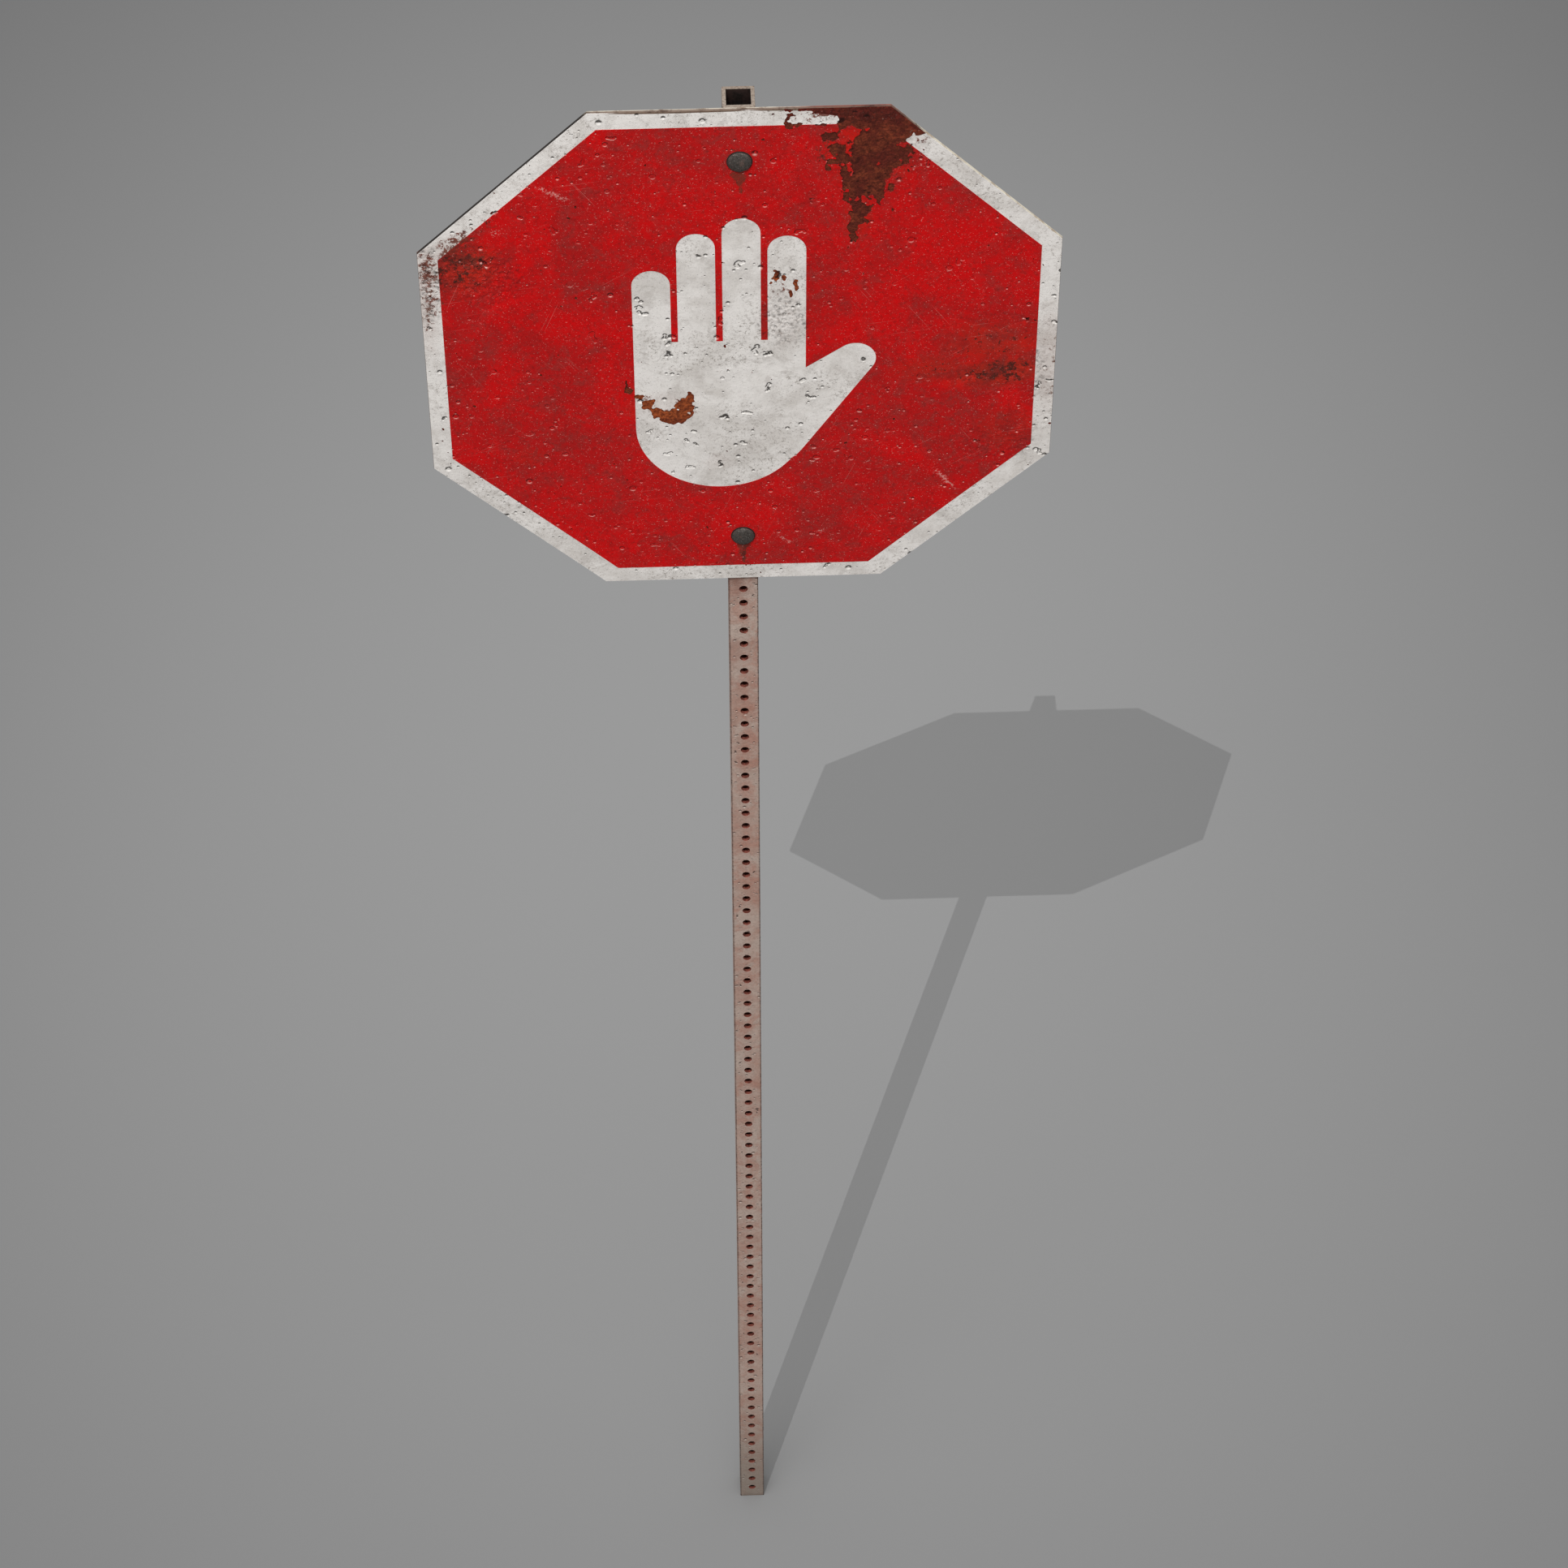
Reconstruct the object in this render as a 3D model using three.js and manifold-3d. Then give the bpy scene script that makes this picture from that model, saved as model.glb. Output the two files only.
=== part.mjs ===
// Octagonal traffic sign bolted to a perforated square steel post.
// Millimetres, +Z up. The origin is on the post's axis at ground level, and the sign faces -Y.

import * as THREE from 'three';
import { mergeGeometries, mergeVertices } from 'three/addons/utils/BufferGeometryUtils.js';
import Module from 'manifold-3d';

const wasm = await Module();
wasm.setup();

const INCH = 25.4;

// Post: square tube, with holes one pitch apart through its front wall.
const POST_SIDE = 1.5 * INCH;
const POST_WALL = (3 / 16) * INCH;
const POST_LENGTH = 114 * INCH;
const HOLE_DIAMETER = (7 / 16) * INCH;
const HOLE_PITCH = INCH;
const HOLE_COUNT = POST_LENGTH / HOLE_PITCH - 1;
const HOLE_SIDES = 16;

// Sign: an octagon whose upright and level sides are a little longer than its corner sides.
const SIGN_SIZE = 30 * INCH;
const SIGN_CENTRE_HEIGHT = 99 * INCH;
const STRAIGHT_SIDE = 13.75 * INCH;
const BLANK_THICKNESS = 4.25;
const SHEETING_THICKNESS = 0.5;
const FILM_THICKNESS = 0.25;
const SIGN_THICKNESS = BLANK_THICKNESS + SHEETING_THICKNESS + FILM_THICKNESS;

// White border left around the red film. It is a little wider along the two lower corner sides.
const BORDER = 24;
const LOWER_CORNER_BORDER = 28.5;

// Legend: a raised open hand, cut out of the red film. Its places are measured from the sign's
// centre, to the right and up, and the whole hand is moved left to balance the thumb.
const HAND_SHIFT = -26;
const FINGER_PITCH = 54;
const FINGER_RADIUS = 23;
const FINGER_ROOT_HEIGHT = 10;
const FINGERTIP_HEIGHTS = [140, 196, 218, 190];
const PALM_TOP = 26;
const PALM_WAIST = -115;
const PALM_BOTTOM = -218;
const PALM_HALF_WIDTH = 1.5 * FINGER_PITCH + FINGER_RADIUS;
const THUMB_ROOT = { x: 52, z: -128, radius: 56 };
const THUMB_TIP = { x: 164, z: -8, radius: 25 };

// Fasteners: 3/8 in dome-headed bolts with a square neck, one above and one below the legend.
const BOLT_SPACING = 24 * INCH;
const UPPER_BOLT_HEIGHT = SIGN_CENTRE_HEIGHT + BOLT_SPACING / 2;
const LOWER_BOLT_HEIGHT = SIGN_CENTRE_HEIGHT - BOLT_SPACING / 2;
const BOLT_DIAMETER = (3 / 8) * INCH;
const BOLT_LENGTH = 2.5 * INCH;
const BOLT_CHAMFER = 1;
const HEAD_DIAMETER = 28.5;
const HEAD_HEIGHT = 4.8;
const HEAD_RIM = 1;
const NECK_SIDE = 9.8;
const NECK_LENGTH = 5.2;
const NECK_HOLE = 10.4;
const FACE_WASHER = { outer: 30.5, inner: 15, thickness: 0.8 };
const BACK_WASHER = { outer: 25.4, inner: 11, thickness: 2 };
const LOCK_WASHER = { outer: 17.3, inner: 10.2, thickness: 2.5, splitAngle: 0.22 };
const NUT = { acrossFlats: 14.3, bore: 10.2, thickness: 8.25, chamfer: 1.1 };

const ROUND_SEGMENTS = 24;
const ARC_SEGMENTS = 12;
const DOME_STEPS = 6;
const CUT_MARGIN = 1;

const rustedSteel = new THREE.MeshStandardMaterial({ color: 0x917a70, roughness: 0.8, metalness: 0.35 });
const plateSteel = new THREE.MeshStandardMaterial({ color: 0x8d8a84, roughness: 0.65, metalness: 0.5 });
const whiteSheeting = new THREE.MeshStandardMaterial({ color: 0xcfcdc8, roughness: 0.5, metalness: 0 });
const redFilm = new THREE.MeshStandardMaterial({ color: 0xb71216, roughness: 0.45, metalness: 0 });
const darkSteel = new THREE.MeshStandardMaterial({ color: 0x4c4b49, roughness: 0.55, metalness: 0.6 });
const zincSteel = new THREE.MeshStandardMaterial({ color: 0x8a8d8f, roughness: 0.5, metalness: 0.7 });
const darkNylon = new THREE.MeshStandardMaterial({ color: 0x231f1d, roughness: 0.7, metalness: 0 });

function toSolid(geometry) {
  const bare = geometry.clone();
  bare.deleteAttribute('normal');
  bare.deleteAttribute('uv');
  const merged = mergeVertices(bare);
  return new wasm.Manifold(new wasm.Mesh({
    numProp: 3,
    vertProperties: new Float32Array(merged.attributes.position.array),
    triVerts: new Uint32Array(merged.index.array),
  }));
}

function toGeometry(solid) {
  const { vertProperties, triVerts } = solid.getMesh();
  const geometry = new THREE.BufferGeometry();
  geometry.setAttribute('position', new THREE.BufferAttribute(vertProperties, 3));
  geometry.setIndex(new THREE.BufferAttribute(triVerts, 1));
  return geometry;
}

function named(name, geometry, material) {
  const mesh = new THREE.Mesh(geometry, material);
  mesh.name = name;
  return mesh;
}

// A shape drawn in x (right) and y (up) becomes a plate that stands up in XZ, with its back
// face at y = 0 and its front face towards -Y.
function standingPlate(shape, thickness) {
  const options = { depth: thickness, bevelEnabled: false, curveSegments: ARC_SEGMENTS };
  return new THREE.ExtrudeGeometry(shape, options).rotateX(Math.PI / 2);
}

function polygon(points) {
  return new THREE.Shape(points.map(([x, y]) => new THREE.Vector2(x, y)));
}

function squareHole(side, height) {
  const half = side / 2;
  return new THREE.Path([[-half, -half], [half, -half], [half, half], [-half, half]]
    .map(([x, y]) => new THREE.Vector2(x, y + height)));
}

// Octagon of a given half size. Its corners lie where the straight sides end, which may differ
// between the upper and the lower corners.
function octagon(halfSize, upperHalfSide, lowerHalfSide) {
  return polygon([
    [-lowerHalfSide, -halfSize],
    [lowerHalfSide, -halfSize],
    [halfSize, -lowerHalfSide],
    [halfSize, upperHalfSide],
    [upperHalfSide, halfSize],
    [-upperHalfSide, halfSize],
    [-halfSize, upperHalfSide],
    [-halfSize, -lowerHalfSide],
  ]);
}

function withNeckHoles(shape) {
  shape.holes.push(squareHole(NECK_HOLE, BOLT_SPACING / 2), squareHole(NECK_HOLE, -BOLT_SPACING / 2));
  return shape;
}

// Half the length of a straight side once the sign's outline is moved in by the border: the
// corner side moves in by its own border, measured at right angles to it.
function borderedHalfSide(cornerBorder) {
  return STRAIGHT_SIDE / 2 + BORDER - cornerBorder * Math.SQRT2;
}

// A straight bar with round ends of two radii.
function taperedBar(start, end) {
  const length = Math.hypot(end.x - start.x, end.z - start.z);
  const along = Math.atan2(end.z - start.z, end.x - start.x);
  const side = Math.acos((start.radius - end.radius) / length);
  const shape = new THREE.Shape();
  shape.absarc(end.x, end.z, end.radius, along - side, along + side, false);
  shape.absarc(start.x, start.z, start.radius, along + side, along - side + 2 * Math.PI, false);
  return shape;
}

function palmShape() {
  const shape = new THREE.Shape();
  shape.moveTo(PALM_HALF_WIDTH, PALM_TOP);
  shape.lineTo(-PALM_HALF_WIDTH, PALM_TOP);
  shape.lineTo(-PALM_HALF_WIDTH, PALM_WAIST);
  shape.absellipse(0, PALM_WAIST, PALM_HALF_WIDTH, PALM_WAIST - PALM_BOTTOM, Math.PI, 2 * Math.PI);
  return shape;
}

function fingerShapes() {
  return FINGERTIP_HEIGHTS.map((tip, index) => {
    const x = (index - 1.5) * FINGER_PITCH;
    const root = { x, z: FINGER_ROOT_HEIGHT, radius: FINGER_RADIUS };
    return taperedBar(root, { x, z: tip - FINGER_RADIUS, radius: FINGER_RADIUS });
  });
}

// Prisms along the Y axis, one for each height, that cut through the wall centred on wallY. Their
// polygon ends have the area of the round hole.
function holeCutters(heights, wallY) {
  const equalArea = Math.sqrt(Math.PI / ((HOLE_SIDES / 2) * Math.sin((2 * Math.PI) / HOLE_SIDES)));
  const radius = (HOLE_DIAMETER / 2) * equalArea;
  const length = POST_WALL + 2 * CUT_MARGIN;
  const cutters = heights.map((height) => {
    const prism = new THREE.CylinderGeometry(radius, radius, length, HOLE_SIDES);
    return prism.translate(0, wallY, height);
  });
  return toSolid(mergeGeometries(cutters));
}

// The front wall is perforated over its whole length. The back wall has only the bolts' holes.
function makePost() {
  const outer = new THREE.BoxGeometry(POST_SIDE, POST_SIDE, POST_LENGTH);
  const boreSide = POST_SIDE - 2 * POST_WALL;
  const bore = new THREE.BoxGeometry(boreSide, boreSide, POST_LENGTH + 2 * CUT_MARGIN);
  const tube = toSolid(outer.translate(0, 0, POST_LENGTH / 2))
    .subtract(toSolid(bore.translate(0, 0, POST_LENGTH / 2)));
  const frontHeights = Array.from({ length: HOLE_COUNT }, (_, index) => (index + 1) * HOLE_PITCH);
  const backHeights = [LOWER_BOLT_HEIGHT, UPPER_BOLT_HEIGHT];
  const wallY = (POST_SIDE - POST_WALL) / 2;
  const perforated = tube
    .subtract(holeCutters(frontHeights, -wallY))
    .subtract(holeCutters(backHeights, wallY));
  return named('post', toGeometry(perforated), rustedSteel);
}

function makeBlank() {
  const outline = octagon(SIGN_SIZE / 2, STRAIGHT_SIDE / 2, STRAIGHT_SIDE / 2);
  return named('sign_blank', standingPlate(withNeckHoles(outline), BLANK_THICKNESS), plateSteel);
}

function makeSheeting() {
  const outline = octagon(SIGN_SIZE / 2, STRAIGHT_SIDE / 2, STRAIGHT_SIDE / 2);
  const geometry = standingPlate(withNeckHoles(outline), SHEETING_THICKNESS);
  const mesh = named('white_sheeting', geometry, whiteSheeting);
  mesh.position.y = -BLANK_THICKNESS;
  return mesh;
}

function makeFilm() {
  const upper = borderedHalfSide(BORDER);
  const lower = borderedHalfSide(LOWER_CORNER_BORDER);
  const outline = octagon(SIGN_SIZE / 2 - BORDER, upper, lower);
  const cutDepth = FILM_THICKNESS + 2 * CUT_MARGIN;
  let film = toSolid(standingPlate(withNeckHoles(outline), FILM_THICKNESS));
  for (const shape of [palmShape(), taperedBar(THUMB_ROOT, THUMB_TIP), ...fingerShapes()]) {
    const cutter = standingPlate(shape, cutDepth).translate(HAND_SHIFT, CUT_MARGIN, 0);
    film = film.subtract(toSolid(cutter));
  }
  const mesh = named('red_film', toGeometry(film), redFilm);
  mesh.position.y = -(BLANK_THICKNESS + SHEETING_THICKNESS);
  return mesh;
}

// The head's underside is at y = 0, its dome towards -Y and its shank towards +Y.
function makeBolt(name) {
  const shankRadius = BOLT_DIAMETER / 2;
  const headRadius = HEAD_DIAMETER / 2;
  const profile = [
    new THREE.Vector2(0, BOLT_LENGTH),
    new THREE.Vector2(shankRadius - BOLT_CHAMFER, BOLT_LENGTH),
    new THREE.Vector2(shankRadius, BOLT_LENGTH - BOLT_CHAMFER),
    new THREE.Vector2(shankRadius, 0),
    new THREE.Vector2(headRadius, 0),
  ];
  for (let step = 0; step < DOME_STEPS; step += 1) {
    const angle = (step / DOME_STEPS) * (Math.PI / 2);
    const height = HEAD_RIM + (HEAD_HEIGHT - HEAD_RIM) * Math.sin(angle);
    profile.push(new THREE.Vector2(headRadius * Math.cos(angle), -height));
  }
  profile.push(new THREE.Vector2(0, -HEAD_HEIGHT));
  const turned = toSolid(new THREE.LatheGeometry(profile.reverse(), ROUND_SEGMENTS));
  const neck = new THREE.BoxGeometry(NECK_SIDE, NECK_LENGTH + HEAD_RIM, NECK_SIDE);
  const bolt = turned.add(toSolid(neck.translate(0, (NECK_LENGTH - HEAD_RIM) / 2, 0)));
  return named(name, toGeometry(bolt), darkSteel);
}

// A flat ring about the Y axis, between y = 0 and y = thickness.
function makeWasher(name, { outer, inner, thickness }, material) {
  const section = [
    new THREE.Vector2(inner / 2, 0),
    new THREE.Vector2(outer / 2, 0),
    new THREE.Vector2(outer / 2, thickness),
    new THREE.Vector2(inner / 2, thickness),
    new THREE.Vector2(inner / 2, 0),
  ];
  return named(name, new THREE.LatheGeometry(section, ROUND_SEGMENTS), material);
}

// A ring like the flat washer's, with a split at its top that springs the nut off the post.
function makeLockWasher(name) {
  const { outer, inner, thickness, splitAngle } = LOCK_WASHER;
  const from = Math.PI / 2 + splitAngle / 2;
  const to = from + 2 * Math.PI - splitAngle;
  const shape = new THREE.Shape();
  shape.absarc(0, 0, outer / 2, from, to, false);
  shape.absarc(0, 0, inner / 2, to, from, true);
  return named(name, standingPlate(shape, thickness).translate(0, thickness, 0), zincSteel);
}

// A hexagon prism whose corners are turned down by a cone at both ends.
function makeNut(name) {
  const { acrossFlats, bore, thickness, chamfer } = NUT;
  const cornerRadius = acrossFlats / Math.sqrt(3);
  const prism = new THREE.CylinderGeometry(cornerRadius, cornerRadius, thickness, 6);
  const barrel = new THREE.LatheGeometry([
    new THREE.Vector2(0, -thickness / 2),
    new THREE.Vector2(cornerRadius - chamfer, -thickness / 2),
    new THREE.Vector2(cornerRadius + chamfer, chamfer - thickness / 2),
    new THREE.Vector2(cornerRadius + chamfer, thickness / 2 - chamfer),
    new THREE.Vector2(cornerRadius - chamfer, thickness / 2),
    new THREE.Vector2(0, thickness / 2),
  ], ROUND_SEGMENTS);
  const hole = new THREE.CylinderGeometry(
    bore / 2, bore / 2, thickness + 2 * CUT_MARGIN, ROUND_SEGMENTS,
  );
  const nut = toSolid(prism).intersect(toSolid(barrel)).subtract(toSolid(hole));
  return named(name, toGeometry(nut).translate(0, thickness / 2, 0), zincSteel);
}

// What holds the sign at one bolt: the bolt and its face washer in front of the sign, and the
// flat washer, lock washer and nut behind the post.
function makeFastener(prefix, height) {
  const fastener = new THREE.Group();
  const front = new THREE.Group();
  front.position.y = -(POST_SIDE / 2);
  const bolt = makeBolt(`${prefix}_bolt`);
  bolt.position.y = -(SIGN_THICKNESS + FACE_WASHER.thickness);
  const faceWasher = makeWasher(`${prefix}_face_washer`, FACE_WASHER, darkNylon);
  faceWasher.position.y = bolt.position.y;
  front.add(bolt, faceWasher);
  const back = new THREE.Group();
  back.position.y = POST_SIDE / 2;
  const backWasher = makeWasher(`${prefix}_back_washer`, BACK_WASHER, zincSteel);
  const lockWasher = makeLockWasher(`${prefix}_lock_washer`);
  lockWasher.position.y = BACK_WASHER.thickness;
  const nut = makeNut(`${prefix}_nut`);
  nut.position.y = BACK_WASHER.thickness + LOCK_WASHER.thickness;
  back.add(backWasher, lockWasher, nut);
  fastener.add(front, back);
  fastener.position.z = height;
  return fastener;
}

const sign = new THREE.Group();
sign.position.set(0, -POST_SIDE / 2, SIGN_CENTRE_HEIGHT);
sign.add(makeBlank(), makeSheeting(), makeFilm());

const signpost = new THREE.Group();
signpost.add(
  makePost(),
  sign,
  makeFastener('upper', UPPER_BOLT_HEIGHT),
  makeFastener('lower', LOWER_BOLT_HEIGHT),
);

export default signpost;
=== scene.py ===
"""Octagonal sign with a raised-hand symbol on a perforated square post, weathered.

The CAD frame gives every place and outer size. Each CAD node is replaced by a finer piece of the
same outer size: pits, gouges, flaked paint, threads and worn edges are geometry, and each piece
has a procedural material. Outlines are worked out in millimetres and placed in metres.
"""

import math

import bpy
import numpy as np
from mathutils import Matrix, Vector, kdtree, noise
from mathutils.geometry import delaunay_2d_cdt


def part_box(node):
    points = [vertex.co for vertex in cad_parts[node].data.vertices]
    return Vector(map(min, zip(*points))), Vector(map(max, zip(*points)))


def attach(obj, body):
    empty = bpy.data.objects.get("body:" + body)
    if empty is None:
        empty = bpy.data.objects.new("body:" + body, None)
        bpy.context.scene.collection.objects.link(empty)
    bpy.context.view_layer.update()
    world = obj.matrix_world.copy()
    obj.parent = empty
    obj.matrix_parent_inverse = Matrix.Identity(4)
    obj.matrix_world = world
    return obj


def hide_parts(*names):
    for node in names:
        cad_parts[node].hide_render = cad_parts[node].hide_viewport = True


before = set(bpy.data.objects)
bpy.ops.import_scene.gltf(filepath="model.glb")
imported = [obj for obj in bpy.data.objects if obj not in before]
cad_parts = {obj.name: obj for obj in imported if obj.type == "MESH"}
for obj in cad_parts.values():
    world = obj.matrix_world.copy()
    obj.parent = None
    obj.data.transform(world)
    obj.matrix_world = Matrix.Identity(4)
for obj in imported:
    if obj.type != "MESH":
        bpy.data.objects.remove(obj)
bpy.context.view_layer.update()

MM = 0.001
INCH = 25.4

# The camera looks down at the post from high up in front, at a point in the plane of its axis.
VIEW_AZIMUTH = math.radians(-2.154)
VIEW_ELEVATION = math.radians(48.088)
VIEW_DISTANCE = 5.9855
VIEW_ANGLE = math.radians(20.0)
VIEW_TARGET = Vector((0.0525, 0.0, 1.7122))

# The sun's way of travel, for one metre down.
SUN_TRAVEL = Vector((0.2119, 0.5951, -1.0))

# Outline of the sign and its symbol, as in the CAD source.
STRAIGHT_SIDE = 13.75 * INCH
BORDER = 24.0
LOWER_CORNER_BORDER = 28.5
HAND_SHIFT = -26.0
FINGER_PITCH = 54.0
FINGER_RADIUS = 23.0
FINGER_ROOT_HEIGHT = 10.0
FINGERTIP_HEIGHTS = (140.0, 196.0, 218.0, 190.0)
PALM_TOP = 26.0
PALM_WAIST = -115.0
PALM_BOTTOM = -218.0
THUMB_ROOT = (52.0, -128.0, 56.0)
THUMB_TIP = (164.0, -8.0, 25.0)
NECK_HOLE = 10.4

# Post holes and bolts, as in the CAD source, but the holes have more sides.
HOLE_PITCH = INCH
HOLE_RADIUS = 7 / 32 * INCH
POST_WALL = 3 / 16 * INCH
HOLE_SIDES = 24
RIM_PARTS = 8
THREAD_PITCH = INCH / 16
CORNER_RADIUS = 0.9
RIM_WIDTH = 0.5
HOLE_CHAMFER = 0.2
FRONT_WALL_CRATERS = 480
OTHER_WALL_CRATERS = 170

# How near the meshes' free points may come to the outlines and to each other, in millimetres.
CRATER_GAP = 0.28
OUTLINE_GAP = 0.4
BLISTER_STEP, BLISTER_GAP = 1.8, 0.9
FACE_STEP, FACE_GAP = 9.0, 2.5
POST_CRATER_GAP = 0.25
POST_STEP, POST_GAP = 7.0, 2.0

# Damage of the sign's face: how many pits and gouges, and where there are more gouges.
PIT_COUNT = 820
GOUGE_COUNT = 64
GOUGED_PLACES = ((-180, 118), (-122, 100), (-88, 38), (-62, -120), (95, -150), (152, -178))
FLAT_ROUND_BOLT, WAVY_FROM_BOLT = 17, 45
EDGE_BEVEL = 0.4
SKIN_GAP = 0.02
BROKEN_EDGE = 0.06


# ---------------------------------------------------------------- small helpers

def millimetres(node):
    """A CAD node's box, in millimetres."""
    low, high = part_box(node)
    return np.array(low) / MM, np.array(high) / MM


def fractal(points, size, octaves=4, seed=0.0):
    """Fractal noise of about -1 to 1 at each point, with features of the given size."""
    offset = Vector((seed * 17.3, seed * 7.1, seed * 3.7))
    padded = np.zeros((len(points), 3))
    padded[:, :points.shape[1]] = points / size
    return np.array([noise.fractal(Vector(p) + offset, 0.9, 2.1, octaves) for p in padded])


def smooth_step(value, low, high):
    t = np.clip((value - low) / (high - low), 0.0, 1.0)
    return t * t * (3 - 2 * t)


def row_quads(rows, size, around=True, ends_joined=False):
    """Quads between rows of size points each, round each row or only along it."""
    quads = []
    for row in range(rows if ends_joined else rows - 1):
        start, below = row * size, (row + 1) % rows * size
        for i in range(size if around else size - 1):
            j = (i + 1) % size
            quads.append((start + i, start + j, below + j, below + i))
    return quads


def mesh_object(name, vertices, faces, materials, face_materials=None, sharp=35.0, painted=None):
    """A smooth-shaded object from vertices in millimetres, without its unused vertices. painted
    gives named values from 0 to 1 at the vertices, for the materials to read."""
    mesh = bpy.data.meshes.new(name)
    used = sorted({i for face in faces for i in face})
    new_index = {old: new for new, old in enumerate(used)}
    points = [tuple(v * MM for v in vertices[i]) for i in used]
    mesh.from_pydata(points, [], [tuple(new_index[i] for i in face) for face in faces])
    for key, values in (painted or {}).items():
        layer = mesh.attributes.new(key, "FLOAT", "POINT")
        layer.data.foreach_set("value", np.asarray(values, dtype=np.float32)[used])
    for material in materials:
        mesh.materials.append(material)
    if face_materials is not None:
        mesh.polygons.foreach_set("material_index", face_materials)
    mesh.shade_smooth()
    mesh.set_sharp_from_angle(angle=math.radians(sharp))
    mesh.validate()
    piece = bpy.data.objects.new(name, mesh)
    bpy.context.scene.collection.objects.link(piece)
    return piece


def stand_for(piece, node):
    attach(piece, "root")
    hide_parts(node)


# ---------------------------------------------------------------- materials

class Finish:
    """A procedural material around one Principled shader, built in object coordinates. Its colour
    starts as a mix of two, and further colours are laid over it."""

    def __init__(self, name, specular):
        self.material = bpy.data.materials.new(name)
        self.material.use_nodes = True
        self.tree = self.material.node_tree
        self.shader = self.tree.nodes["Principled BSDF"]
        self.shader.inputs["Specular IOR Level"].default_value = specular
        self.place = self.node("ShaderNodeTexCoord").outputs["Object"]
        self.colour = None

    def node(self, kind, **settings):
        made = self.tree.nodes.new(kind)
        for key, value in settings.items():
            setattr(made, key, value)
        return made

    def feed(self, socket, value):
        """Links or sets a socket. A colour is three 0 to 255 screen values or four linear ones."""
        if isinstance(value, bpy.types.NodeSocket):
            self.tree.links.new(value, socket)
        elif isinstance(value, tuple) and len(value) == 3 and socket.type == "RGBA":
            socket.default_value = (*(linear(part) for part in value), 1.0)
        else:
            socket.default_value = value

    def noise(self, size, detail, roughness, distortion=0.0, vector=None):
        """Noise from 0 to 1, with features of a size in millimetres."""
        made = self.node("ShaderNodeTexNoise")
        self.feed(made.inputs["Vector"], vector or self.place)
        made.inputs["Scale"].default_value = 1 / (size * MM)
        made.inputs["Detail"].default_value = detail
        made.inputs["Roughness"].default_value = roughness
        made.inputs["Distortion"].default_value = distortion
        return made.outputs["Fac"]

    def cells(self, size):
        """Distance to the nearest of scattered points, from 0 at each point."""
        made = self.node("ShaderNodeTexVoronoi")
        self.feed(made.inputs["Vector"], self.place)
        made.inputs["Scale"].default_value = 1 / (size * MM)
        return made.outputs["Distance"]

    def band(self, value, low, high, to_low=0.0, to_high=1.0):
        """value from low to high, spread smoothly to to_low to to_high."""
        made = self.node("ShaderNodeMapRange", interpolation_type="SMOOTHSTEP")
        self.feed(made.inputs["Value"], value)
        numbers = (("From Min", low), ("From Max", high), ("To Min", to_low), ("To Max", to_high))
        for key, number in numbers:
            made.inputs[key].default_value = number
        return made.outputs["Result"]

    def math(self, operation, first, second=0.0):
        made = self.node("ShaderNodeMath", operation=operation)
        self.feed(made.inputs[0], first)
        self.feed(made.inputs[1], second)
        return made.outputs["Value"]

    def times(self, first, second):
        return self.math("MULTIPLY", first, second)

    def mix(self, factor, first, second):
        """The colour first, turning into second as factor goes to 1."""
        made = self.node("ShaderNodeMix", data_type="RGBA")
        self.feed(made.inputs[0], factor)
        self.feed(made.inputs[6], first)
        self.feed(made.inputs[7], second)
        return made.outputs[2]

    def over(self, factor, colour, strength=None):
        """Lays a colour over the finish's own, as far as factor times strength says."""
        if strength is not None:
            factor = self.times(factor, strength)
        self.colour = self.mix(factor, self.colour, colour)

    def along(self, axis):
        """The place along one axis, in metres."""
        made = self.node("ShaderNodeSeparateXYZ")
        self.feed(made.inputs[0], self.place)
        return made.outputs[axis]

    def moved(self, location, turn=0.0, scale=(1, 1, 1)):
        """The place less location, turned about Y, then scaled."""
        shifted = self.node("ShaderNodeVectorMath", operation="SUBTRACT")
        self.feed(shifted.inputs[0], self.place)
        shifted.inputs[1].default_value = location
        turned = self.node("ShaderNodeMapping")
        self.feed(turned.inputs["Vector"], shifted.outputs[0])
        turned.inputs["Rotation"].default_value = (0.0, turn, 0.0)
        sized = self.node("ShaderNodeVectorMath", operation="MULTIPLY")
        self.feed(sized.inputs[0], turned.outputs[0])
        sized.inputs[1].default_value = scale
        return sized.outputs[0]

    def length(self, vector):
        made = self.node("ShaderNodeVectorMath", operation="LENGTH")
        self.feed(made.inputs[0], vector)
        return made.outputs["Value"]

    def spots(self, spots, ragged=0.35, grain=25.0, soft=0.75):
        """Ragged patches on the sign. Each spot is (x, z, half width, half height, turn in
        degrees, strength), in millimetres from the sign's centre."""
        edge = self.times(self.noise(grain, 6.0, 0.65), ragged * 2)
        total = None
        for x, z, width, height, turn, strength in spots:
            at = (SIGN_PLACE[0] + x * MM, SIGN_PLACE[1], SIGN_PLACE[2] + z * MM)
            size = (1 / (width * MM), 0.0, 1 / (height * MM))
            far = self.math("ADD", self.length(self.moved(at, math.radians(turn), size)), edge)
            near = self.band(far, 1.0 + ragged, 1.0 - soft + ragged, 0.0, strength)
            total = near if total is None else self.math("MAXIMUM", total, near)
        return total

    def speckled(self, mask, size, low, spread=0.2):
        """Fine specks, denser where the mask is nearer to 1."""
        lifted = self.math("ADD", self.noise(size, 8.0, 0.8), self.times(mask, spread))
        return self.band(lifted, low, low + 0.05)

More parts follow.
